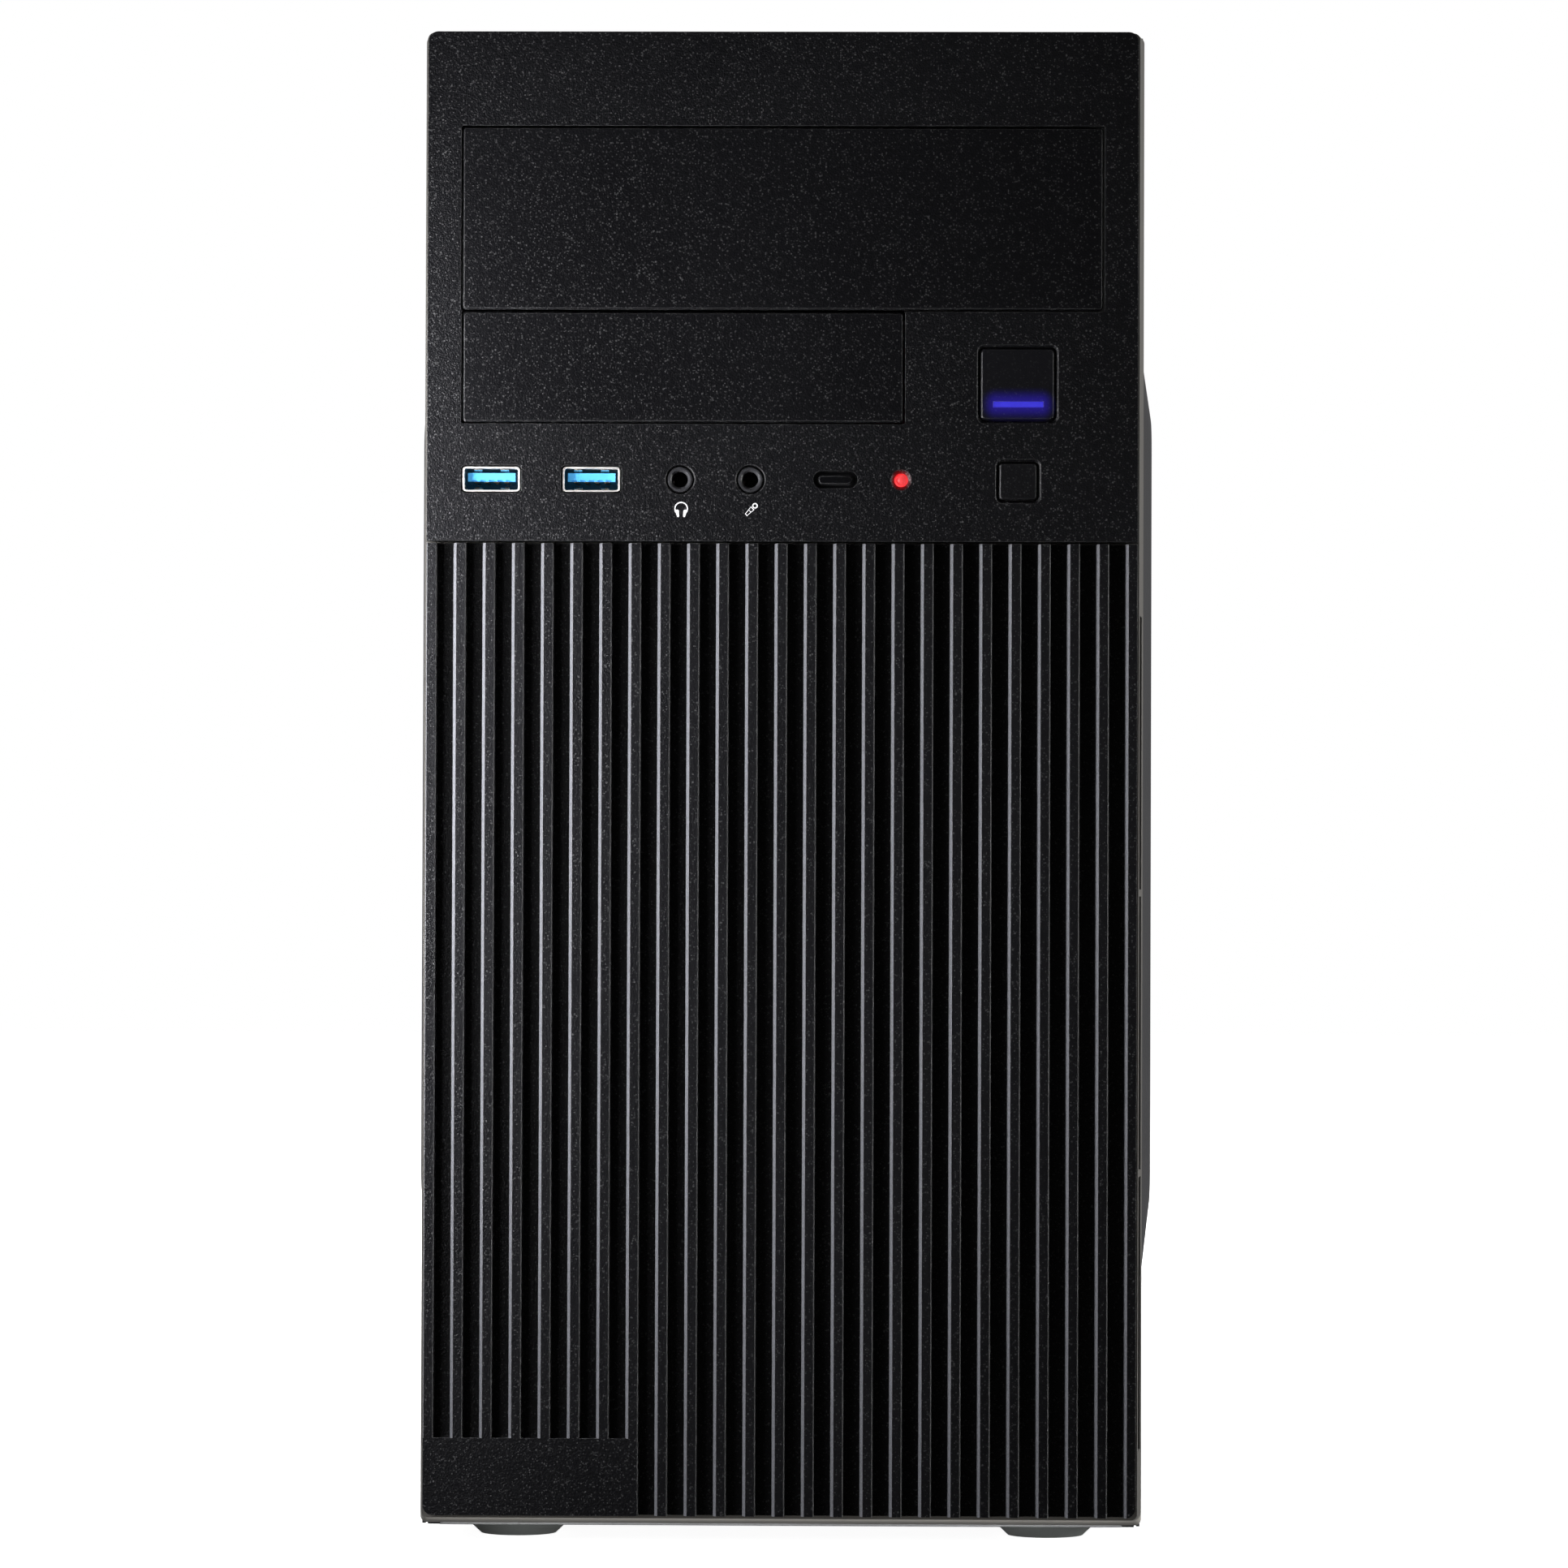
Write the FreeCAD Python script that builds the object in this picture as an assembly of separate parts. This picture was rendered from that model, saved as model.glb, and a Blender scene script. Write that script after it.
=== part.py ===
import FreeCAD, Part
import math
import os

V = FreeCAD.Vector

# Case envelope. Design frame: x right, y from the front face to the rear, z up from the floor.
FACE_HALF = 82.5       # half width of the moulded front face
FACE_Z = (8.0, 352.4)  # lower and upper edge of the front face
FACE_R = 2.3           # corner radius of the front face
SKIRT_HALF = 84.8      # half width of the bezel where it meets the chassis
SKIRT_Z = (4.0, 354.6)
SKIRT_R = 1.5          # corner radius of the skirt
BEZEL_D = 26.0         # depth of the bezel
WALL = 2.4             # bezel wall
STEP_Y = 5.9           # depth of the styling groove round the bezel
GROOVE = 0.8
CENTRE_Y = 189.5       # middle of the whole tower, front to rear

# Chassis sheet work.
SHEET = 0.8
FRONT_Y = 27.0         # outer face of the chassis front sheet
REAR_Y = 371.0         # outer face of the chassis rear sheet
FRAME_HALF = 80.2      # half width of the chassis frame
PLATE_HALF = 83.2      # half width of the floor and roof sheets
FLOOR_Z = (3.4, 4.2)
ROOF_Z = (354.0, 354.8)
LIP = 10.0             # height of the folded lips along floor and roof
PANEL_X = (83.7, 84.5)  # side panel sheet
BULGE_X = 88.9         # outer face of the embossed middle of a side panel
EAR_Z = (40.0, 320.0)  # heights of the thumbscrews
EAR_HALF = 8.0
THUMB_X = 80.0

# Front face layout.
SEAM_Z = 233.7         # joint between plain fascia and ribbed panel
RIB_TOP_Y = 0.5        # rib tops sit this far behind the fascia
RIB_FLOOR_Y = 3.9
RIB_PITCH = 6.785
RIB_FIRST_X = -83.1
RIB_W = 3.0
RIB_COUNT = 25
PAD_X = (-82.5, -32.8)  # plain pad in the lower corner
PAD_TOP_Z = 25.9
OPTICAL = ((-74.35, 74.35), (287.7, 330.1))   # 5.25 inch bay cover
FLOPPY = ((-74.2, 28.1), (261.5, 287.1))      # 3.5 inch bay cover
COVER_GAP = 0.4
USB_X = (-67.54, -44.30)
JACK_X = (-23.67, -7.36)
PORT_Z = 248.2
BLANK_X = 12.36
LED_X = 27.62
POWER = ((46.0, 63.2), (262.2, 278.8))
RESET = ((50.3, 59.2), (243.6, 252.25))
BUTTON_GAP = 0.35
LIGHT_BAR = ((48.9, 60.6), (265.1, 266.5))
SLIT_Z = (22.5, 217.3)  # side air intake
SLIT_Y = (10.0, 20.0)

# Inside the chassis.
TRAY_X = (76.0, 76.8)
BOARD_X = (68.4, 70.0)  # main board, component side at the lower x
BOARD_Y = (142.0, 368.0)
BOARD_Z = (18.0, 262.0)
PSU_X = (-75.0, 75.0)
PSU_Y = (230.2, 370.2)
PSU_Z = (264.0, 350.0)
CPU_YZ = (275.0, 185.0)
REAR_FAN = (-30.0, 215.0)
REAR_FAN_SIZE = 92.0
SHIELD_X = (27.0, 71.45)
SHIELD_Z = (103.0, 261.75)
SLOT_Z = [93.0 - 20.32 * i for i in range(4)]
CAGE_HALF = (74.6, 75.4)
CAGE_END_Y = 200.0
HDD_CAGE_X = (-75.4, 29.7)
HDD_CAGE_END_Y = 178.0
HDD_CAGE_Z = (196.0, 285.5)
HDD = ((-73.65, 27.95), (35.0, 182.0), (224.0, 250.1))
MEMORY_Y = (203.0, 214.0)
FOOT_X = 62.7
FOOT_R = (8.95, 12.6)
FOOT_Y = (45.0, 350.0)
IO_BOARD_Z = (243.2, 244.8)
SWITCH_Y = (15.4, 17.0)
SCREW_R = 1.65


def box(x, y, z):
    """Block spanning three (low, high) pairs."""
    return Part.makeBox(x[1] - x[0], y[1] - y[0], z[1] - z[0], V(x[0], y[0], z[0]))


def about(centre, half):
    return (centre - half, centre + half)


def grow(span, by):
    return (span[0] - by, span[1] + by)


def rod(radius, base, axis, length):
    return Part.makeCylinder(radius, length, V(*base), V(*axis))


def fuse(shapes):
    """One solid from touching or overlapping pieces."""
    joined = shapes[0].multiFuse(shapes[1:]) if len(shapes) > 1 else shapes[0]
    return joined.removeSplitter()


def cut(shape, tools):
    return shape.cut(Part.makeCompound(tools))


def outline(u, v, r, at):
    """Closed wire of a rounded rectangle; at(u, v) gives a point of its plane."""
    (u0, u1), (v0, v1) = u, v
    k = r * (1.0 - math.sqrt(0.5))
    if r <= 0.0:
        corners = [at(u0, v0), at(u1, v0), at(u1, v1), at(u0, v1), at(u0, v0)]
        return Part.makePolygon(corners)
    runs = [((u0 + r, v0), (u1 - r, v0)), ((u1, v0 + r), (u1, v1 - r)),
            ((u1 - r, v1), (u0 + r, v1)), ((u0, v1 - r), (u0, v0 + r))]
    mids = [(u1 - k, v0 + k), (u1 - k, v1 - k), (u0 + k, v1 - k), (u0 + k, v0 + k)]
    edges = []
    for i in range(4):
        start, end = at(*runs[i][0]), at(*runs[i][1])
        if (end - start).Length > 1e-6:
            edges.append(Part.makeLine(start, end))
        following = at(*runs[(i + 1) % 4][0])
        edges.append(Part.Arc(end, at(*mids[i]), following).toShape())
    return Part.Wire(edges)


def at_y(y):
    return lambda u, v: V(u, y, v)


def at_x(x):
    return lambda u, v: V(x, u, v)


def plate(x, z, r, y):
    """Rounded plate facing the front, from y[0] to y[1]."""
    return Part.Face(outline(x, z, r, at_y(y[0]))).extrude(V(0, y[1] - y[0], 0))


def side_plate(y, z, r, x):
    """Rounded plate facing sideways, from x[0] to x[1]."""
    return Part.Face(outline(y, z, r, at_x(x[0]))).extrude(V(x[1] - x[0], 0, 0))


def bevelled(x, z, r, y, bevel):
    """Rounded plate whose front edge is bevelled."""
    front = outline(grow(x, -bevel), grow(z, -bevel), r - bevel, at_y(y[0]))
    middle = outline(x, z, r, at_y(y[0] + bevel))
    nose = Part.makeLoft([front, middle], True, True)
    return fuse([nose, plate(x, z, r, (y[0] + bevel, y[1]))])


def placed(shape, centre, axis):
    """Move a shape built on +Z at the origin to a centre and an axis."""
    turned = shape.copy()
    turned.Placement = FreeCAD.Placement(V(*centre), FreeCAD.Rotation(V(0, 0, 1), V(*axis)))
    return turned


def tube(points, radius, bend):
    """Cable along a polyline whose corners are rounded by tangent arcs."""
    nodes = [V(*p) for p in points]
    edges = []
    start = nodes[0]
    for i in range(1, len(nodes) - 1):
        back = (nodes[i - 1] - nodes[i]).normalize()
        ahead = (nodes[i + 1] - nodes[i]).normalize()
        reach = bend / math.tan(back.getAngle(ahead) / 2.0)
        first, last = nodes[i] + back * reach, nodes[i] + ahead * reach
        middle_way = (back + ahead).normalize()
        depth = math.hypot(reach, bend) - bend
        edges.append(Part.LineSegment(start, first).toShape())
        edges.append(Part.Arc(first, nodes[i] + middle_way * depth, last).toShape())
        start = last
    edges.append(Part.LineSegment(start, nodes[-1]).toShape())
    spine = Part.Wire(edges)
    ring = Part.Wire([Part.makeCircle(radius, nodes[0], nodes[1] - nodes[0])])
    return spine.makePipeShell([ring], True, False)


def screw(point, axis, head_r=3.1, head_h=1.9, length=5.0, shank=SCREW_R):
    """Pan head screw; point is under the head and axis points out of the head."""
    head = Part.makeCylinder(head_r, head_h)
    head = head.makeChamfer(0.5, [head.Edges[0]])
    body = fuse([head, Part.makeCylinder(shank, length, V(0, 0, -length))])
    arm, deep = head_r * 0.62, 1.1
    cross = [box((-arm, arm), (-0.4, 0.4), (head_h - deep, head_h + 1)),
             box((-0.4, 0.4), (-arm, arm), (head_h - deep, head_h + 1))]
    return placed(cut(body, cross), point, axis)


def hole_grid(x, z, y, pitch, radius):
    """Staggered round holes inside a rectangle, as a list of cylinders along Y."""
    holes = []
    row_pitch = pitch * math.sqrt(3.0) / 2.0
    for row in range(int((z[1] - z[0]) / row_pitch) + 1):
        shift = pitch / 2.0 if row % 2 else 0.0
        for col in range(int((x[1] - x[0] - shift) / pitch) + 1):
            base = (x[0] + shift + col * pitch, y[0], z[0] + row * row_pitch)
            holes.append(rod(radius, base, (0, 1, 0), y[1] - y[0]))
    return holes


# ---------------------------------------------------------------- front bezel

def bezel_span(y, inset):
    """Half width and height span of the bezel at a depth, moved in by inset."""
    t = y / BEZEL_D
    half = FACE_HALF + (SKIRT_HALF - FACE_HALF) * t - inset
    low = FACE_Z[0] + (SKIRT_Z[0] - FACE_Z[0]) * t + inset
    high = FACE_Z[1] + (SKIRT_Z[1] - FACE_Z[1]) * t - inset
    return (-half, half), (low, high)


def bezel_loft(y0, y1, inset, r):
    ends = []
    for y in (y0, y1):
        x, z = bezel_span(y, inset)
        ends.append(outline(x, z, r, at_y(y)))
    return Part.makeLoft(ends, True, True)


def bezel_shell():
    face = plate((-FACE_HALF, FACE_HALF), FACE_Z, FACE_R, (0.0, STEP_Y))
    neck = plate((-FACE_HALF + GROOVE, FACE_HALF - GROOVE), grow(FACE_Z, -GROOVE), FACE_R,
                 (STEP_Y, STEP_Y + 1.0))
    skirt = bezel_loft(STEP_Y + 1.0, BEZEL_D, 0.0, SKIRT_R)
    cavity = bezel_loft(WALL, BEZEL_D, WALL, 2.0)
    x, z = bezel_span(BEZEL_D, WALL)
    mouth = plate(x, z, 2.0, (BEZEL_D - 0.01, BEZEL_D + 1.0))
    return cut(fuse([face, neck, skirt]), [cavity, mouth])


def fascia_openings():
    """Tools for every opening in the plain upper fascia."""
    deep = (-1.0, WALL + 1.0)
    tools = [plate(grow(OPTICAL[0], COVER_GAP), grow(OPTICAL[1], COVER_GAP), 0.6, deep),
             plate(grow(FLOPPY[0], COVER_GAP), grow(FLOPPY[1], COVER_GAP), 0.6, deep)]
    for span in (POWER, RESET):
        tools.append(plate(grow(span[0], BUTTON_GAP), grow(span[1], BUTTON_GAP), 1.2, deep))
        mouth = outline(grow(span[0], BUTTON_GAP + 0.5), grow(span[1], BUTTON_GAP + 0.5), 1.6, at_y(-0.01))
        throat = outline(grow(span[0], BUTTON_GAP), grow(span[1], BUTTON_GAP), 1.2, at_y(0.5))
        tools.append(Part.makeLoft([mouth, throat], True, True))
    for x in USB_X:
        tools.append(plate(about(x, 7.05), about(PORT_Z, 3.25), 1.1, deep))
    for x in JACK_X:
        tools.append(rod(3.32, (x, deep[0], PORT_Z), (0, 1, 0), deep[1] - deep[0]))
        tools.append(Part.makeCone(3.54, 3.32, 0.22, V(x, -0.01, PORT_Z), V(0, 1, 0)))
    tools.append(plate(about(BLANK_X, 5.15), about(PORT_Z, 2.08), 2.07, deep))
    tools.append(rod(1.6, (LED_X, deep[0], PORT_Z), (0, 1, 0), deep[1] - deep[0]))
    tools.append(Part.makeCone(2.4, 1.6, 0.8, V(LED_X, -0.01, PORT_Z), V(0, 1, 0)))
    return tools


def bezel_clip(x, z, y0):
    """Snap arm that passes through a window of the chassis front sheet."""
    arm = box(about(x, 1.0), (y0, 31.0), about(z, 4.0))
    barb = box((x - 1.0, x + 1.6), (28.6, 30.4), about(z, 4.0))
    return fuse([arm, barb])


def front_bezel():
    shell = bezel_shell()
    lower = box((-100, 100), (-1.0, STEP_Y), (-10.0, SEAM_Z + 0.2))
    shell = cut(shell, [lower] + fascia_openings())
    parts = [shell]
    x, z = bezel_span(STEP_Y, WALL)
    lip = plate(x, (z[0], SEAM_Z + 2.6), 2.0, (STEP_Y, STEP_Y + 2.0))
    window = box((x[0] + 7.0, x[1] - 7.0), (0.0, 20.0), (z[0] + 7.0, SEAM_Z - 4.0))
    parts.append(cut(lip, [window]))
    parts.append(box((x[0] + 0.5, x[1] - 0.5), (WALL, STEP_Y + 2.0), (SEAM_Z + 0.2, SEAM_Z + 2.6)))
    for side in (-1, 1):
        parts.append(bezel_clip(side * 77.0, 40.0, STEP_Y + 1.0))
        parts.append(bezel_clip(side * 77.0, 180.0, STEP_Y + 1.0))
        parts.append(bezel_clip(side * 77.0, 342.0, WALL - 0.2))
    body = fuse(parts)
    bars = 3
    length = (SLIT_Z[1] - SLIT_Z[0] - 1.6 * (bars - 1)) / bars
    slots = []
    for i in range(bars):
        low = SLIT_Z[0] + i * (length + 1.6)
        for span in ((-95.0, -79.2), (79.2, 95.0)):
            slots.append(box(span, SLIT_Y, (low, low + length)))
    return cut(body, slots)


def rib(index):
    """One upright rib: broad bevel on one side, fine bevel on the other."""
    x0 = RIB_FIRST_X + RIB_PITCH * index
    x1 = x0 + RIB_W
    low = FACE_Z[0] if x0 > PAD_X[1] - RIB_W - 1.0 else PAD_TOP_Z - 0.5
    base = RIB_FLOOR_Y + 0.2
    section = [V(x0, base, low), V(x0, RIB_TOP_Y + 1.3, low), V(x0 + 0.7, RIB_TOP_Y, low),
               V(x1 - 0.25, RIB_TOP_Y, low), V(x1, RIB_TOP_Y + 0.35, low), V(x1, base, low), V(x0, base, low)]
    return Part.Face(Part.makePolygon(section)).extrude(V(0, 0, SEAM_Z - 0.3 - low))


def rib_panel():
    top = SEAM_Z - 0.3
    parts = [box((-FACE_HALF, FACE_HALF), (RIB_FLOOR_Y, STEP_Y), (FACE_Z[0], top)),
             box(PAD_X, (RIB_TOP_Y, RIB_FLOOR_Y + 0.2), (FACE_Z[0], PAD_TOP_Z))]
    parts += [rib(i) for i in range(RIB_COUNT)]
    rough = fuse(parts)
    envelope = plate((-FACE_HALF, FACE_HALF), (FACE_Z[0], FACE_Z[1]), FACE_R, (0.0, STEP_Y))
    return rough.common(envelope)


def cover(span, arms):
    """Snap-in bay cover with two arms behind it."""
    face = bevelled(span[0], span[1], 0.8, (0.0, WALL), 0.35)
    parts = [face]
    middle = (span[1][0] + span[1][1]) / 2.0
    for side in (0, 1):
        inner = span[0][side] + (1.0 if side == 0 else -2.8)
        parts.append(box((inner, inner + 1.8), (WALL - 0.2, 17.0), about(middle, arms)))
        barb = inner - 0.6 if side == 0 else inner
        parts.append(box((barb, barb + 2.4), (13.5, 15.5), about(middle, arms)))
    parts.append(box(grow(span[0], -6.0), (WALL - 0.2, 6.0), about(middle, 0.8)))
    return fuse(parts)


def led_lens():
    dome = Part.makeSphere(1.3, V(LED_X, 1.6, PORT_Z))
    stem = rod(1.3, (LED_X, 1.6, PORT_Z), (0, 1, 0), 5.4)
    flange = rod(2.6, (LED_X, WALL, PORT_Z), (0, 1, 0), 1.0)
    return fuse([dome, stem, flange])


def usb_c_blank():
    flange = plate(about(BLANK_X, 6.8), about(PORT_Z, 3.4), 1.0, (WALL, WALL + 1.2))
    plug = plate(about(BLANK_X, 5.05), about(PORT_Z, 1.98), 1.97, (1.3, WALL + 0.2))
    pill = bevelled(about(BLANK_X, 4.03), about(PORT_Z, 1.09), 1.08, (0.35, 1.5), 0.25)
    return fuse([flange, plug, pill])


def button(span, radius, flange, plunger_end):
    """Push cap with a retaining flange behind the fascia and a plunger."""
    cap = bevelled(span[0], span[1], radius, (0.05, 3.0), 0.4)
    back = plate(grow(span[0], 1.0), grow(span[1], 1.0), radius, (2.75, 2.75 + flange))
    centre = ((span[0][0] + span[0][1]) / 2.0, 3.0, (span[1][0] + span[1][1]) / 2.0)
    return fuse([cap, back, rod(2.0, centre, (0, 1, 0), plunger_end - 3.0)])


def power_button():
    slot = box(LIGHT_BAR[0], (-1.0, 6.0), LIGHT_BAR[1])
    return cut(button(POWER, 1.1, 1.3, 9.8), [slot])


def power_light_bar():
    bar = box(grow(LIGHT_BAR[0], -0.05), (0.15, 4.6), grow(LIGHT_BAR[1], -0.05))
    return bar


def reset_button():
    return button(RESET, 0.8, 1.2, 10.3)


# ------------------------------------------------------- front ports and board

def front_io_board():
    ports = box((-79.0, 41.0), (4.0, 26.0), IO_BOARD_Z)
    header = box((34.5, 40.5), (14.0, 23.0), (IO_BOARD_Z[1], 252.0))
    lamp = box(about(LED_X, 1.5), (8.0, 11.0), (IO_BOARD_Z[1], PORT_Z + 1.6))
    switches = box((44.0, 66.0), SWITCH_Y, (241.0, 284.0))
    return Part.makeCompound([fuse([ports, header, lamp]), switches])


def front_io_bracket():
    shelf = fuse([box((-79.0, 41.0), (8.0, FRONT_Y), (IO_BOARD_Z[0] - SHEET, IO_BOARD_Z[0])),
                  box((-79.0, 30.0), (FRONT_Y - SHEET, FRONT_Y), (232.0, IO_BOARD_Z[0]))])
    frame = fuse([box((43.0, 67.0), (SWITCH_Y[1], SWITCH_Y[1] + SHEET), (240.0, 285.0)),
                  box((43.0, 43.8), (SWITCH_Y[1], FRONT_Y), (240.0, 285.0)),
                  box((66.2, 67.0), (SWITCH_Y[1], FRONT_Y), (240.0, 285.0))])
    frame = cut(frame, [box((46.0, 64.0), (10.0, 22.0), (246.0, 279.0))])
    return Part.makeCompound([shelf, frame])


def usb_shells():
    shells = []
    for x in USB_X:
        outer = plate(about(x, 6.7), about(PORT_Z, 2.9), 0.9, (0.3, 15.0))
        inner = plate(about(x, 6.22), about(PORT_Z, 2.5), 0.5, (-1.0, 14.4))
        feet = [box(about(x + dx, 1.0), (9.0, 12.0), (IO_BOARD_Z[1], PORT_Z - 2.7)) for dx in (-5.0, 5.0)]
        shells.append(cut(fuse([outer] + feet), [inner]))
    return Part.makeCompound(shells)


def usb_tongues():
    tongues = []
    for x in USB_X:
        blade = box(about(x, 5.5), (1.8, 13.0), (PORT_Z - 0.45, PORT_Z + 1.5))
        block = plate(about(x, 6.17), about(PORT_Z, 2.46), 0.6, (12.2, 14.4))
        notches = [box(about(x + dx, 0.65), (1.0, 2.4), (PORT_Z - 0.6, PORT_Z - 0.1))
                   for dx in (-4.0, -2.0, 0.0, 2.0, 4.0)]
        grooves = [box(about(x + dx, 0.55), (2.7, 12.2), (PORT_Z - 0.55, PORT_Z - 0.2))
                   for dx in (-3.5, -1.15, 1.15, 3.5)]
        tongues.append(cut(fuse([blade, block]), notches + grooves))
    return Part.makeCompound(tongues)


def usb_contacts():
    strips = []
    for x in USB_X:
        for dx in (-3.5, -1.15, 1.15, 3.5):
            strips.append(box(about(x + dx, 0.5), (2.8, 12.0), (PORT_Z - 0.7, PORT_Z - 0.25)))
    return Part.makeCompound(strips)


def audio_jacks():
    jacks = []
    for x in JACK_X:
        body = box(about(x, 4.2), (3.4, 15.0), (IO_BOARD_Z[1], 252.4))
        nose = rod(3.0, (x, 0.3, PORT_Z), (0, 1, 0), 3.4)
        nose = nose.makeChamfer(0.25, [e for e in nose.Edges if e.BoundBox.YMax < 0.31])
        bore = rod(1.8, (x, -1.0, PORT_Z), (0, 1, 0), 15.0)
        mouth = Part.makeCone(2.3, 1.8, 0.5, V(x, 0.29, PORT_Z), V(0, 1, 0))
        jacks.append(cut(fuse([body, nose]), [bore, mouth]))
    return Part.makeCompound(jacks)


def button_switches():
    """Tactile switches behind the two buttons."""
    switches = []
    for span in (POWER, RESET):
        x, z = sum(span[0]) / 2.0, sum(span[1]) / 2.0
        body = box(about(x, 3.0), (11.9, SWITCH_Y[0]), about(z, 3.0))
        stem = rod(1.75, (x, 11.55, z), (0, 1, 0), 0.6)
        switches.append(fuse([body, stem]))
    return Part.makeCompound(switches)


# ------------------------------------------------------------------- chassis

def foot_places():
    return [(x, y) for x in (-FOOT_X, FOOT_X) for y in FOOT_Y]


def chassis_base():
    plate_ = box((-PLATE_HALF, PLATE_HALF), (FRONT_Y + SHEET, REAR_Y - SHEET), FLOOR_Z)
    lips = [box(span, (FRONT_Y + SHEET, REAR_Y - SHEET), (FLOOR_Z[0], FLOOR_Z[1] + LIP))
            for span in ((-80.0, -79.2), (79.2, 80.0))]
    holes = [rod(2.5, (x, y, 0.0), (0, 0, 1), 10.0) for x, y in foot_places()]
    beads = [box((-50.0, 50.0), (y, y + 5.0), (FLOOR_Z[1] - 0.1, FLOOR_Z[1] + 0.9)) for y in (80.0, 195.0, 310.0)]
    return cut(fuse([plate_] + lips + beads), holes)


def chassis_top():
    plate_ = box((-PLATE_HALF, PLATE_HALF), (FRONT_Y + SHEET, REAR_Y - SHEET), ROOF_Z)
    lips = [box(span, (FRONT_Y + SHEET, REAR_Y - SHEET), (ROOF_Z[0] - LIP, ROOF_Z[1]))
            for span in ((-80.0, -79.2), (79.2, 80.0))]
    return fuse([plate_] + lips)


def chassis_front_panel():
    sheet = box((-FRAME_HALF, FRAME_HALF), (FRONT_Y, FRONT_Y + SHEET), (FLOOR_Z[0], ROOF_Z[1]))
    deep = (FRONT_Y - 1.0, FRONT_Y + 2.0)
    tools = [box(grow(OPTICAL[0], -0.2), deep, OPTICAL[1]),
             box(grow(FLOPPY[0], -0.2), deep, FLOPPY[1]),
             rod(4.0, (37.5, deep[0], 249.0), (0, 1, 0), 3.0),
             rod(4.0, (50.0, deep[0], 258.0), (0, 1, 0), 3.0)]
    for side in (-1, 1):
        for z in (40.0, 180.0, 342.0):
            tools.append(box(about(side * 77.3, 2.3), deep, about(z, 5.5)))
    tools += hole_grid((-58.0, 58.0), (34.0, 166.0), deep, 9.0, 3.1)
    return cut(sheet, tools)


def psu_screw_places():
    return [(-69.0, 344.0), (69.0, 344.0), (-69.0, 280.0), (69.0, 270.0)]


def fan_screw_places():
    half = 41.25
    return [(REAR_FAN[0] + i * half, REAR_FAN[1] + j * half) for i in (-1, 1) for j in (-1, 1)]


def chassis_rear_panel():
    sheet = box((-FRAME_HALF, FRAME_HALF), (REAR_Y - SHEET, REAR_Y), (FLOOR_Z[0], ROOF_Z[1]))
    ears = [box((-PLATE_HALF, PLATE_HALF), (REAR_Y - SHEET, REAR_Y), about(z, EAR_HALF)) for z in EAR_Z]
    deep = (REAR_Y - 2.0, REAR_Y + 1.0)
    tools = [box((-64.0, 64.0), deep, (268.0, 346.0)),
             box(grow(SHIELD_X, -1.0), deep, grow(SHIELD_Z, -1.0))]
    tools += [box((-40.0, 66.0), deep, about(z, 6.4)) for z in SLOT_Z]
    for hole in hole_grid(about(REAR_FAN[0], 36.0), about(REAR_FAN[1], 37.0), deep, 6.6, 2.6):
        centre = hole.CenterOfMass
        if math.hypot(centre.x - REAR_FAN[0], centre.z - REAR_FAN[1]) < 38.5:
            tools.append(hole)
    for x, z in psu_screw_places() + fan_screw_places():
        tools.append(rod(1.8, (x, deep[0], z), (0, 1, 0), 3.0))
    for x in (-THUMB_X, THUMB_X):
        for z in EAR_Z:
            tools.append(rod(2.05, (x, deep[0], z), (0, 1, 0), 3.0))
    return cut(fuse([sheet] + ears), tools)


def motherboard_tray():
    sheet = box(TRAY_X, (120.0, REAR_Y - SHEET), (FLOOR_Z[1], ROOF_Z[0]))
    flange = box((TRAY_X[1] - 0.1, 79.2), (120.0, 120.8), (20.0, 340.0))
    window = [box(grow(TRAY_X, 2.0), about(CPU_YZ[0], 38.0), about(CPU_YZ[1], 38.0)),
              box(grow(TRAY_X, 2.0), (126.0, 138.0), (60.0, 110.0)),
              box(grow(TRAY_X, 2.0), (126.0, 138.0), (200.0, 250.0))]
    return cut(fuse([sheet, flange]), window)


def optical_bay_cage():
    y = (FRONT_Y + SHEET, CAGE_END_Y)
    parts = [box((-CAGE_HALF[1], CAGE_HALF[1]), (40.0, 190.0), (ROOF_Z[0] - SHEET, ROOF_Z[0]))]
    tools = []
    for side in (-1, 1):
        wall = sorted((side * CAGE_HALF[0], side * CAGE_HALF[1]))
        ledge = sorted((side * (CAGE_HALF[0] - 4.0), side * CAGE_HALF[1]))
        parts.append(box(wall, y, (285.5, ROOF_Z[0])))
        parts.append(box(ledge, y, (285.5, 285.5 + SHEET)))
        for start in (60.0, 139.0):
            tools.append(box(grow(wall, 1.0), (start, start + 18.0), (297.0, 300.6)))
            tools.append(box(grow(wall, 1.0), (start, start + 18.0), (309.0, 312.6)))
    return cut(fuse(parts), tools)


def hdd_screw_places():
    return [(y, HDD[2][0] + 6.35) for y in (HDD[1][0] + 28.5, HDD[1][0] + 130.1)]


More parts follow.
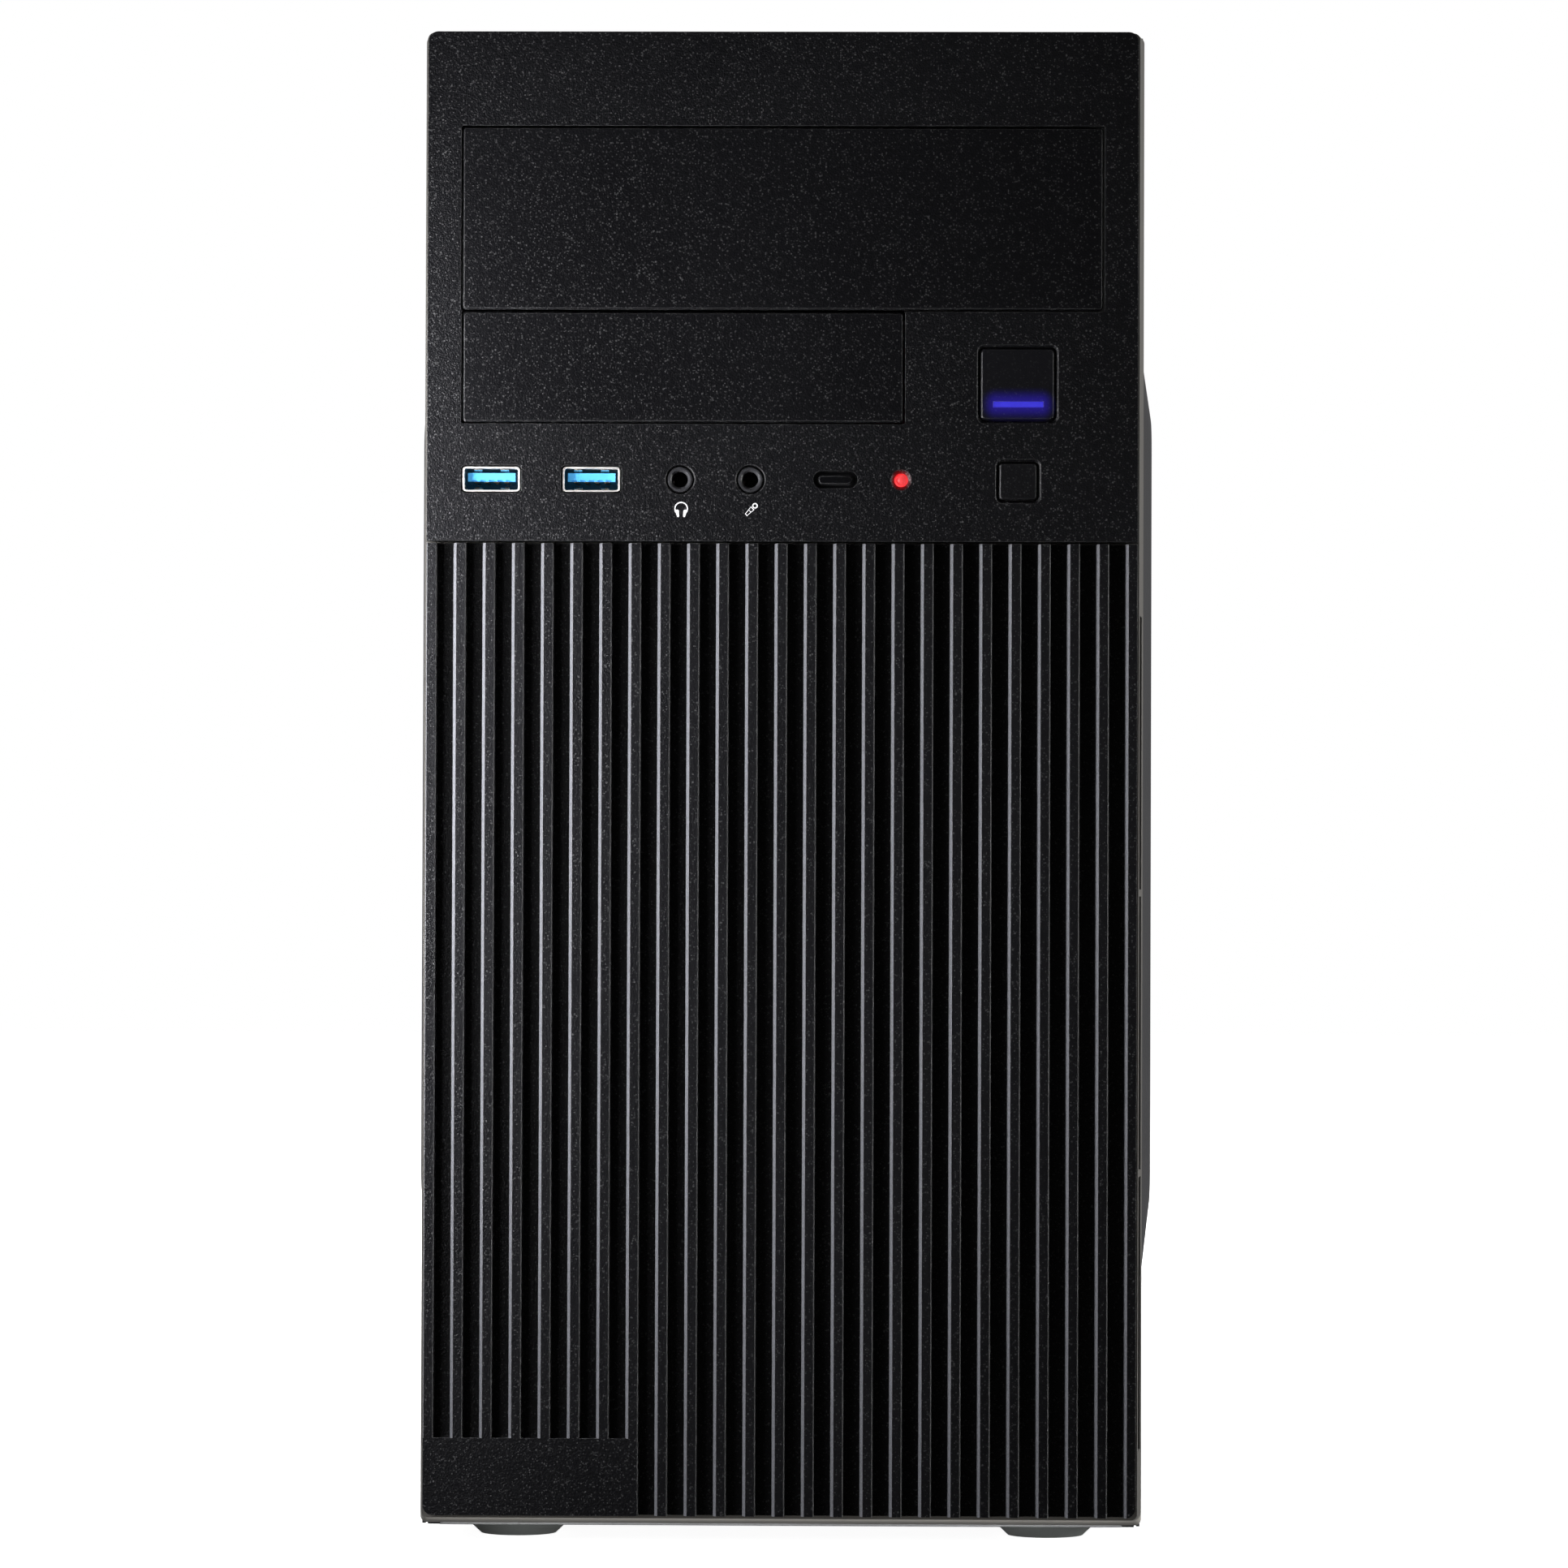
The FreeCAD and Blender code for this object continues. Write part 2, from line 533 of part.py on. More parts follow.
def hard_drive_cage():
    y = (FRONT_Y + SHEET, HDD_CAGE_END_Y)
    left = (HDD_CAGE_X[0], HDD_CAGE_X[0] + SHEET)
    right = (HDD_CAGE_X[1] - SHEET, HDD_CAGE_X[1])
    parts = [box(left, y, HDD_CAGE_Z), box(right, y, HDD_CAGE_Z),
             box(HDD_CAGE_X, y, (HDD_CAGE_Z[0], HDD_CAGE_Z[0] + SHEET)),
             box((right[0], CAGE_HALF[0]), (60.0, 150.0), (HDD_CAGE_Z[1] - SHEET, HDD_CAGE_Z[1]))]
    tools = [box((-60.0, 15.0), (50.0 + 32.0 * i, 68.0 + 32.0 * i), (190.0, 200.0)) for i in range(4)]
    for wall in (left, right):
        for yy, zz in hdd_screw_places():
            tools.append(rod(1.9, (wall[0] - 1.0, yy, zz), (1, 0, 0), 3.0))
        for start in (60.0, 130.0):
            tools.append(box(grow(wall, 1.0), (start, start + 16.0), (271.5, 275.1)))
            tools.append(box(grow(wall, 1.0), (start, start + 16.0), (205.0, 208.6)))
    return cut(fuse(parts), tools)


def feet():
    solids = []
    for x, y in foot_places():
        pad = Part.makeCone(*FOOT_R, FLOOR_Z[0], V(x, y, 0.0))
        stud = rod(2.4, (x, y, FLOOR_Z[0] - 0.5), (0, 0, 1), 3.5)
        dimple = rod(4.0, (x, y, -1.0), (0, 0, 1), 2.2)
        solids.append(cut(fuse([pad, stud]), [dimple]))
    return Part.makeCompound(solids)


def side_panel(side):
    """Steel side panel with an embossed middle; side is -1 for left and 1 for right."""
    y, z = (FRONT_Y + 0.6, REAR_Y + 1.0), (3.6, 354.6)
    foot_y, foot_z = (52.0, 352.0), (40.0, 296.0)
    crown_y, crown_z = (80.0, 326.0), (77.0, 269.0)
    sheet = box(PANEL_X, y, z)
    bulge = Part.makeLoft([outline(foot_y, foot_z, 14.0, at_x(PANEL_X[0])),
                           outline(crown_y, crown_z, 8.0, at_x(BULGE_X))], True, True)
    hollow = bulge.copy()
    hollow.translate(V(-SHEET, 0, 0))
    folds = [box((80.6, PANEL_X[1]), y, (4.5, 5.3)), box((80.6, PANEL_X[1]), y, (352.7, 353.5)),
             box((80.6, PANEL_X[1]), (y[0], y[0] + SHEET), (4.5, 353.5)),
             box((76.2, PANEL_X[1]), (REAR_Y + 0.2, REAR_Y + 1.0), (8.0, 350.0))]
    gaps = [box((79.0, PANEL_X[0] - 0.1), (y[0] - 1.0, y[0] + 2.0), about(h, EAR_HALF + 4.0)) for h in EAR_Z]
    holes = [rod(1.8, (THUMB_X, REAR_Y - 1.0, h), (0, 1, 0), 4.0) for h in EAR_Z]
    panel = cut(fuse([sheet, bulge] + folds), [hollow] + gaps + holes)
    if side > 0:
        return panel
    vents = []
    for i in range(9):
        vents.append(side_plate((242.0, 308.0), about(155.0 + 7.5 * i, 1.6), 1.5, (80.0, 92.0)))
    mirrored = cut(panel, vents).mirror(V(0, 0, 0), V(1, 0, 0))
    return mirrored


def thumbscrew(x, z):
    head = rod(6.0, (x, REAR_Y + 1.0, z), (0, 1, 0), 7.0)
    rim = [e for e in head.Edges if e.BoundBox.YMin > REAR_Y + 7.9]
    head = head.makeChamfer(0.8, rim)
    flutes = []
    for i in range(20):
        a = math.tau * i / 20
        flutes.append(rod(0.55, (x + 6.1 * math.cos(a), REAR_Y + 2.6, z + 6.1 * math.sin(a)), (0, 1, 0), 8.0))
    flutes.append(box(about(x, 4.5), (REAR_Y + 6.8, REAR_Y + 9.0), about(z, 0.6)))
    shank = rod(1.7, (x, REAR_Y - 5.0, z), (0, 1, 0), 6.5)
    return cut(fuse([head, shank]), flutes)


# --------------------------------------------------------------------- fans

def fan_rotor(hub_r, tip_r, depth, blades):
    """Fan rotor on +Z with its hub from z = 0 to depth."""
    hub = Part.makeCylinder(hub_r, depth)
    hub = hub.makeFillet(1.2, [e for e in hub.Edges if e.BoundBox.ZMin > depth - 0.01])
    parts = [hub]
    for i in range(blades):
        sections = []
        for r, pitch, sweep in ((hub_r - 1.0, 48.0, 0.0), ((hub_r + tip_r) / 2, 36.0, 6.0), (tip_r, 27.0, 14.0)):
            chord = min((depth - 2.0) / math.sin(math.radians(pitch)), r * 0.72)
            ring = [V(r, u * chord / 2, v * 0.6) for u, v in ((-1, -1), (1, -1), (1, 1), (-1, 1), (-1, -1))]
            wire = Part.makePolygon(ring)
            wire.rotate(V(r, 0, 0), V(1, 0, 0), pitch)
            wire.translate(V(0, 0, depth / 2))
            wire.rotate(V(0, 0, 0), V(0, 0, 1), sweep + 360.0 * i / blades)
            sections.append(wire)
        parts.append(Part.makeLoft(sections, True, True))
    rotor = fuse(parts)
    return rotor.common(Part.makeCylinder(tip_r, depth))


def fan_frame(size, depth, bore, hub_r, hole_pitch):
    """Square fan housing on +Z, motor carrier at the far end."""
    half = size / 2.0
    body = Part.makeBox(size, size, depth, V(-half, -half, 0))
    body = body.makeFillet(3.5, [e for e in body.Edges if abs(e.BoundBox.ZLength - depth) < 0.01])
    tools = [Part.makeCylinder(bore, depth)]
    h = hole_pitch / 2.0
    for i in (-1, 1):
        for j in (-1, 1):
            tools.append(Part.makeCylinder(2.15, depth, V(i * h, j * h, 0)))
            notch = Part.makeBox(16.0, 16.0, depth - 8.0, V(-8.0, -8.0, 4.0))
            notch.translate(V(i * (half - 0.5), j * (half - 0.5), 0))
            keep = Part.makeCylinder(bore + 1.8, depth)
            tools.append(notch.cut(keep).cut(Part.makeCylinder(3.6, depth, V(i * h, j * h, 0))))
    frame = cut(body, tools)
    carrier = Part.makeCylinder(hub_r, 2.5, V(0, 0, depth - 2.5))
    arms = []
    for i in range(4):
        arm = Part.makeBox(bore - hub_r + 2.0, 3.0, 2.5, V(hub_r - 1.0, -1.5, depth - 2.5))
        arm.rotate(V(0, 0, 0), V(0, 0, 1), 45.0 + 90.0 * i)
        arms.append(arm)
    return fuse([frame, carrier] + arms)


def rear_fan_frame():
    return placed(fan_frame(REAR_FAN_SIZE, 25.0, 43.5, 19.0, 82.5), (REAR_FAN[0], REAR_Y - SHEET, REAR_FAN[1]), (0, -1, 0))


def rear_fan_rotor():
    return placed(fan_rotor(18.5, 41.5, 19.0, 7), (REAR_FAN[0], REAR_Y - SHEET - 3.0, REAR_FAN[1]), (0, -1, 0))


def psu_fan_centre():
    return (sum(PSU_X) / 2.0, sum(PSU_Y) / 2.0)


def psu_fan_frame():
    x, y = psu_fan_centre()
    return placed(fan_frame(120.0, 25.0, 57.0, 22.0, 105.0), (x, y, PSU_Z[0] + 1.0), (0, 0, 1))


def psu_fan_rotor():
    x, y = psu_fan_centre()
    return placed(fan_rotor(21.0, 54.5, 20.5, 9), (x, y, PSU_Z[0] + 2.5), (0, 0, 1))


# --------------------------------------------------------------- power supply

def psu_case():
    outer = box(PSU_X, PSU_Y, PSU_Z)
    inner = box(grow(PSU_X, -1.0), grow(PSU_Y, -1.0), grow(PSU_Z, -1.0))
    deep = (PSU_Y[1] - 3.0, PSU_Y[1] + 1.0)
    tools = [inner, plate((-57.0, -29.4), (296.0, 316.0), 1.0, deep),
             plate((-20.6, 0.6), (299.5, 312.5), 1.0, deep)]
    tools += hole_grid((10.0, 58.0), (276.0, 338.0), deep, 7.4, 3.0)
    tools += [rod(1.75, (x, deep[0], z), (0, 1, 0), 4.0) for x, z in psu_screw_places()]
    x, y = psu_fan_centre()
    for i in range(7):
        r = 14.0 + 7.0 * i
        ring = Part.makeCylinder(r + 5.2, 3.0, V(x, y, PSU_Z[0] - 1.0))
        tools.append(ring.cut(Part.makeCylinder(r, 3.0, V(x, y, PSU_Z[0] - 1.0))).cut(grille_bars(x, y)))
    tools.append(rod(7.0, (36.0, PSU_Y[0] - 1.0, 275.0), (0, 1, 0), 3.0))
    tools += [rod(4.2, (sx, PSU_Y[0] - 1.0, 275.0), (0, 1, 0), 3.0) for sx in (-10.0, 56.0)]
    return cut(outer, tools)


def grille_bars(x, y):
    """Spokes that stay between the punched arcs of the fan grille."""
    bars = []
    for i in range(4):
        bar = Part.makeBox(130.0, 4.0, 5.0, V(x - 65.0, y - 2.0, PSU_Z[0] - 2.0))
        bar.rotate(V(x, y, 0), V(0, 0, 1), 22.5 + 45.0 * i)
        bars.append(bar)
    return Part.makeCompound(bars)


def psu_inlet():
    """Mains inlet and, beside it, the frame of the rocker switch."""
    inlet = fuse([plate((-56.8, -29.6), (296.2, 315.8), 1.0, (PSU_Y[1] - 22.0, PSU_Y[1])),
                  plate((-59.0, -27.4), (293.8, 318.2), 1.5, (PSU_Y[1], PSU_Y[1] + 2.0))])
    mouth = [V(-55.2, 0, 297.8), V(-31.2, 0, 297.8), V(-31.2, 0, 310.0), V(-35.0, 0, 314.2),
             V(-51.4, 0, 314.2), V(-55.2, 0, 310.0), V(-55.2, 0, 297.8)]
    pit = Part.Face(Part.makePolygon(mouth)).extrude(V(0, 17.0, 0))
    pit.translate(V(0, PSU_Y[1] - 14.0, 0))
    inlet = cut(inlet, [pit])
    pins = [box(about(px, 1.0), (PSU_Y[1] - 15.0, PSU_Y[1] - 2.0), about(pz, 2.0))
            for px, pz in ((-50.2, 304.0), (-43.2, 308.0), (-36.2, 304.0))]
    frame = fuse([plate((-20.4, 0.4), (299.7, 312.3), 0.9, (PSU_Y[1] - 14.0, PSU_Y[1])),
                  plate((-22.0, 2.0), (298.0, 314.0), 1.5, (PSU_Y[1], PSU_Y[1] + 1.6))])
    frame = cut(frame, [box((-18.6, -1.4), (PSU_Y[1] - 11.0, PSU_Y[1] + 3.0), (301.0, 311.0))])
    return Part.makeCompound([fuse([inlet] + pins), frame])


def psu_rocker():
    """Rocker lever, pressed in at one end."""
    centre = V(-10.0, PSU_Y[1] - 1.0, 306.0)
    section = [V(-7.6, 0, 0), V(-8.0, 4.2, 0), V(0, 2.6, 0), V(8.0, 4.2, 0), V(7.6, 0, 0), V(3.0, -6.0, 0),
               V(-3.0, -6.0, 0), V(-7.6, 0, 0)]
    lever = Part.Face(Part.makePolygon(section)).extrude(V(0, 0, 9.2))
    lever.translate(centre + V(0, 0, -4.6))
    lever.rotate(centre, V(0, 0, 1), -8.0)
    return lever


# ----------------------------------------------------------------- main board

def on_board(y, z, height, lift=0.0):
    """Block standing on the component side of the main board."""
    return box((BOARD_X[0] - lift - height, BOARD_X[0] - lift), y, z)


def pin(y, z, radius, height, lift=0.0):
    return rod(radius, (BOARD_X[0] - lift, y, z), (-1, 0, 0), height)


def standoff_places():
    return [(y, z) for y in (357.8, 202.9 - 12.0, 148.5) for z in (255.6, 98.2, 24.5)]


def motherboard():
    board = side_plate(BOARD_Y, BOARD_Z, 1.5, BOARD_X)
    return cut(board, [rod(2.0, (60.0, y, z), (1, 0, 0), 20.0) for y, z in standoff_places()])


def board_standoffs():
    posts = []
    for y, z in standoff_places():
        corners = []
        for i in range(7):
            a = math.tau * i / 6
            corners.append(V(BOARD_X[1], y + 2.9 * math.cos(a), z + 2.9 * math.sin(a)))
        post = Part.Face(Part.makePolygon(corners)).extrude(V(TRAY_X[0] - BOARD_X[1], 0, 0))
        posts.append(cut(post, [rod(1.72, (60.0, y, z), (1, 0, 0), 14.5)]))
    return Part.makeCompound(posts)


def machine_screws():
    """Every small pan head screw of the build."""
    screws = [screw((x, REAR_Y, z), (0, 1, 0), 3.3, 2.0, 6.0) for x, z in psu_screw_places()]
    screws += [screw((x, REAR_Y, z), (0, 1, 0), 3.3, 2.0, 9.0) for x, z in fan_screw_places()]
    screws += [screw((BOARD_X[0], y, z), (-1, 0, 0), 3.0, 1.9, 5.5) for y, z in standoff_places()]
    for y, z in hdd_screw_places():
        screws.append(screw((HDD_CAGE_X[0], y, z), (-1, 0, 0), 3.0, 1.5, 5.5))
        screws.append(screw((HDD_CAGE_X[1], y, z), (1, 0, 0), 3.0, 1.5, 5.5))
    screws += [screw((-44.2, 361.5, z + 5.0), (-1, 0, 0), 3.0, 1.9, 0.7) for z in SLOT_Z]
    return Part.makeCompound(screws)


def cpu_socket():
    y, z = CPU_YZ
    frame = on_board(about(y, 27.0), about(z, 27.0), 3.5)
    return cut(frame, [on_board(about(y, 19.0), about(z, 19.0), 6.0)])


def cpu():
    y, z = CPU_YZ
    return fuse([on_board(about(y, 18.75), about(z, 18.75), 3.6), on_board(about(y, 15.0), about(z, 15.0), 1.9, 3.6)])


def cpu_heatsink():
    y, z = CPU_YZ
    base = pin(y, z, 21.0, 4.0, 5.5)
    core = pin(y, z, 15.0, 35.0, 5.5)
    fins = []
    count = 30
    for i in range(count):
        fin = box((30.0, 56.0), (y + 14.0, y + 41.5), about(z, 0.6))
        fin.rotate(V(0, y, z), V(1, 0, 0), 360.0 * i / count)
        fins.append(fin)
    return fuse([base, core] + fins)


def cpu_fan_frame():
    y, z = CPU_YZ
    ring = cut(rod(45.5, (27.4, y, z), (-1, 0, 0), 18.0), [rod(42.8, (40.0, y, z), (-1, 0, 0), 40.0)])
    parts = [ring, rod(14.0, (11.9, y, z), (-1, 0, 0), 2.5)]
    for i in range(4):
        spoke = box((9.4, 11.9), (y + 12.0, y + 44.0), about(z, 1.5))
        spoke.rotate(V(0, y, z), V(1, 0, 0), 90.0 * i)
        arm = box((23.9, 27.4), (y + 44.0, y + 55.0), about(z, 4.0))
        arm.rotate(V(0, y, z), V(1, 0, 0), 45.0 + 90.0 * i)
        a = math.radians(45.0 + 90.0 * i)
        leg = rod(2.6, (27.3, y + 53.0 * math.cos(a), z + 53.0 * math.sin(a)), (1, 0, 0), BOARD_X[0] - 27.3)
        parts += [spoke, arm, leg]
    return fuse(parts)


def cpu_fan_rotor():
    y, z = CPU_YZ
    return placed(fan_rotor(13.5, 40.8, 13.0, 7), (12.4, y, z), (1, 0, 0))


def memory_slots():
    slots = []
    for y in MEMORY_Y:
        bed = on_board(about(y, 3.3), (104.0, 246.0), 8.0)
        low = on_board(about(y, 3.3), (104.0, 112.0), 14.0)
        cheeks = [on_board((y + a, y + b), (244.6, 254.0), 13.0) for a, b in ((-3.3, -2.2), (2.2, 3.3))]
        foot = on_board(about(y, 3.3), (245.0, 254.0), 1.2)
        groove = box((50.0, 64.2), about(y, 0.75), (110.0, 244.2))
        slots.append(cut(fuse([bed, low, foot] + cheeks), [groove]))
    return Part.makeCompound(slots)


def memory_modules():
    modules = []
    for y in MEMORY_Y:
        board = box((33.6, 63.9), about(y, 0.6), (110.35, 243.7))
        chips = []
        for i in range(8):
            z0 = 114.0 + 15.9 * i
            chips.append(box((39.0, 51.0), (y - 1.7, y - 0.5), (z0, z0 + 9.5)))
        notch = box((47.6, 54.2), about(y, 3.0), (241.8, 246.0))
        modules.append(cut(fuse([board] + chips), [notch]))
    return Part.makeCompound(modules)


def memory_latch(y):
    """Hinged end latch of a memory socket."""
    lever = box((50.2, 65.9), about(y, 1.85), (246.8, 252.0))
    ear = box((50.6, 53.4), about(y, 1.85), (242.4, 247.0))
    thumb = box((48.8, 52.0), about(y, 3.0), (250.4, 255.6))
    return fuse([lever, ear, thumb])


def expansion_slots():
    slots = []
    for z, length in zip(SLOT_Z, (89.0, 25.0, 25.0, 89.0)):
        bed = on_board((317.0 - length, 317.0), about(z, 3.75), 11.0)
        slots.append(cut(bed, [box((50.0, 64.0), (318.5 - length, 315.5), about(z, 0.9))]))
    return Part.makeCompound(slots)


def chipset_heatsink():
    parts = [on_board((163.0, 197.0), (56.0, 92.0), 3.0)]
    for i in range(7):
        z0 = 56.0 + 5.75 * i
        parts.append(on_board((163.0, 197.0), (z0, z0 + 1.5), 12.0))
    return fuse(parts)


def port_shell(z, half, height):
    outer = on_board((350.0, REAR_Y + 1.4), about(z, half), height)
    inner = on_board((351.0, REAR_Y + 3.0), about(z, half - 0.5), height - 1.0, 0.5)
    return cut(outer, [inner])


PORTS = [(245.0, 7.0, 13.0), (224.0, 7.6, 6.0), (203.0, 7.2, 15.6), (180.0, 8.2, 29.5), (158.0, 7.2, 15.6)]
AUDIO_Z = 133.0
AUDIO_X = (60.0, 47.5, 35.0)


def rear_ports():
    return Part.makeCompound([port_shell(*port) for port in PORTS])


def board_connectors():
    """Plastic sockets of the main board, the rear audio stack included."""
    parts = []
    main = on_board((151.0, 161.0), (165.0, 217.0), 12.0)
    parts.append(cut(main, [box((50.0, 66.0), (152.0, 160.0), (166.0, 216.0))]))
    parts.append(on_board((340.0, 350.0), (250.6, 260.6), 9.0))
    parts += [on_board((146.0, 158.0), (z, z + 5.0), 8.0) for z in (40.0, 50.0, 62.0, 72.0)]
    parts.append(on_board((176.0, 184.0), (27.0, 33.0), 8.0))
    parts.append(on_board((200.0, 208.0), (21.0, 27.0), 8.0))
    holder = pin(230.0, 126.0, 11.6, 5.0)
    parts.append(cut(holder, [pin(230.0, 126.0, 10.2, 8.0, 1.4)]))
    for z, half, height in PORTS:
        parts.append(on_board((353.0, 366.0), about(z, half - 1.6), 1.8, height * 0.45))
        parts.append(on_board((351.0, 353.0), about(z, half - 0.6), height - 1.2, 0.6))
    parts.append(on_board((350.0, REAR_Y - 12.0), about(AUDIO_Z, 6.4), 40.0))
    for x in AUDIO_X:
        barrel = box(about(x, 6.2), (REAR_Y - 12.0, REAR_Y + 1.4), about(AUDIO_Z, 6.4))
        parts.append(cut(barrel, [rod(1.8, (x, REAR_Y - 13.0, AUDIO_Z), (0, 1, 0), 20.0)]))
    return Part.makeCompound(parts)


def board_battery():
    return pin(230.0, 126.0, 10.0, 3.2, 1.4)


def board_capacitors():
    """Electrolytic capacitors and, beyond them, square chokes."""
    parts = []
    for y in (250.0, 262.0, 274.0, 286.0, 298.0):
        parts.append(pin(y, 228.0, 4.0, 9.0))
        parts.append(on_board(about(y, 5.0), (235.0, 245.0), 7.0))
    for y, z in ((327.0, 205.0), (327.0, 190.0), (327.0, 175.0), (225.0, 100.0), (240.0, 110.0), (180.0, 120.0)):
        parts.append(pin(y, z, 3.2, 8.0))
    return Part.makeCompound(parts)


def io_shield():
    sheet = box(SHIELD_X, (REAR_Y, REAR_Y + 0.5), SHIELD_Z)
    deep = (REAR_Y - 1.0, REAR_Y + 2.0)
    tools = [box((BOARD_X[0] - h - 0.4, BOARD_X[0] + 0.4), deep, about(z, half + 0.4)) for z, half, h in PORTS]
    tools.append(box((BOARD_X[0] - 40.4, BOARD_X[0] + 0.4), deep, about(AUDIO_Z, 6.8)))
    return cut(sheet, tools)


def slot_covers():
    """Vented blanking plates of the expansion slots."""
    covers = []
    for z in SLOT_Z:
        face = box((-43.4, 70.0), (REAR_Y - SHEET - 0.9, REAR_Y - SHEET), about(z, 9.3))
        tab = box((-44.2, -43.4), (356.0, REAR_Y - SHEET), about(z, 9.3))
        vents = [box((-34.0 + 12.0 * i, -26.0 + 12.0 * i), (360.0, 372.0), about(z, 3.4)) for i in range(8)]
        hole = rod(1.75, (-46.0, 361.5, z + 5.0), (1, 0, 0), 4.0)
        covers.append(cut(fuse([face, tab]), vents + [hole]))
    return Part.makeCompound(covers)


def hard_drive():
    body = box(HDD[0], HDD[1], (HDD[2][0] + 1.6, HDD[2][1] - 1.2))
    upright = [e for e in body.Edges if e.BoundBox.ZLength > 10.0]
    body = body.makeFillet(2.5, upright)
    lid = box(grow(HDD[0], -3.0), (38.0, 176.0), (HDD[2][1] - 1.3, HDD[2][1]))
    circuit = box(grow(HDD[0], -4.0), (60.0, 181.0), (HDD[2][0], HDD[2][0] + 1.7))
    spindle = rod(11.0, (-22.8, 92.0, HDD[2][1] - 0.1), (0, 0, 1), 0.6)
    x_mid = (HDD[0][0] + HDD[0][1]) / 2.0
    tools = [rod(1.8, (x, y, z), (1, 0, 0), 8.0) for y, z in hdd_screw_places() for x in (HDD[0][0] - 1.0, HDD[0][1] - 7.0)]
    tools.append(box((x_mid + 2.0, HDD[0][1] - 5.0), (178.0, 183.0), (HDD[2][0] + 1.8, HDD[2][0] + 8.0)))
    return cut(fuse([body, lid, circuit, spindle]), tools)


def power_cables():
    """Sleeved supply cables with their plugs."""
    main = tube([(36.0, 231.2, 275.0), (36.0, 156.0, 275.0), (36.0, 156.0, 191.0), (47.0, 156.0, 191.0)], 5.0, 9.0)
    plug = box((46.0, 56.2), (151.2, 160.8), (166.2, 215.8))
    cpu_lead = tube([(56.0, 231.2, 275.0), (56.0, 221.0, 275.0), (56.0, 221.0, 257.0), (56.0, 345.0, 257.0)], 2.6, 6.0)
    cpu_plug = box((51.5, 59.3), (345.0 - 4.8, 349.8), (250.8, 260.4))
    drive = tube([(-10.0, 231.2, 275.0), (-10.0, 204.0, 275.0), (-10.0, 204.0, 231.0), (-10.0, 191.0, 231.0)], 2.6, 7.0)
    drive_plug = box((-16.0, 6.0), (182.1, 192.0), (227.4, 234.4))
    return Part.makeCompound([fuse([main, plug]), fuse([cpu_lead, cpu_plug]), fuse([drive, drive_plug])])


def signal_cables():
    """Data lead of the drive and the leads of the front board."""
    data = tube([(15.0, 190.0, 230.5), (15.0, 203.0, 230.5), (15.0, 203.0, 64.5), (15.0, 152.0, 64.5),
                 (53.0, 152.0, 64.5)], 2.0, 7.0)
    data_plugs = [box((9.0, 21.0), (182.1, 191.0), (227.4, 233.4)), box((52.0, 60.2), (147.0, 157.0), (61.8, 67.2))]
    ports = tube([(37.5, 23.1, 249.0), (37.5, 45.0, 249.0), (37.5, 45.0, 30.0), (37.5, 180.0, 30.0),
                  (54.0, 180.0, 30.0)], 2.3, 8.0)
    ports_plug = box((53.0, 60.2), (176.2, 183.8), (27.2, 32.8))
    keys = tube([(50.0, 17.2, 258.0), (50.0, 58.0, 258.0), (50.0, 58.0, 24.0), (50.0, 201.0, 24.0)], 1.6, 6.0)
    keys_plug = box((48.0, 60.2), (200.2, 207.8), (21.2, 26.8))
    return Part.makeCompound([fuse([data] + data_plugs), fuse([ports, ports_plug]), fuse([keys, keys_plug])])


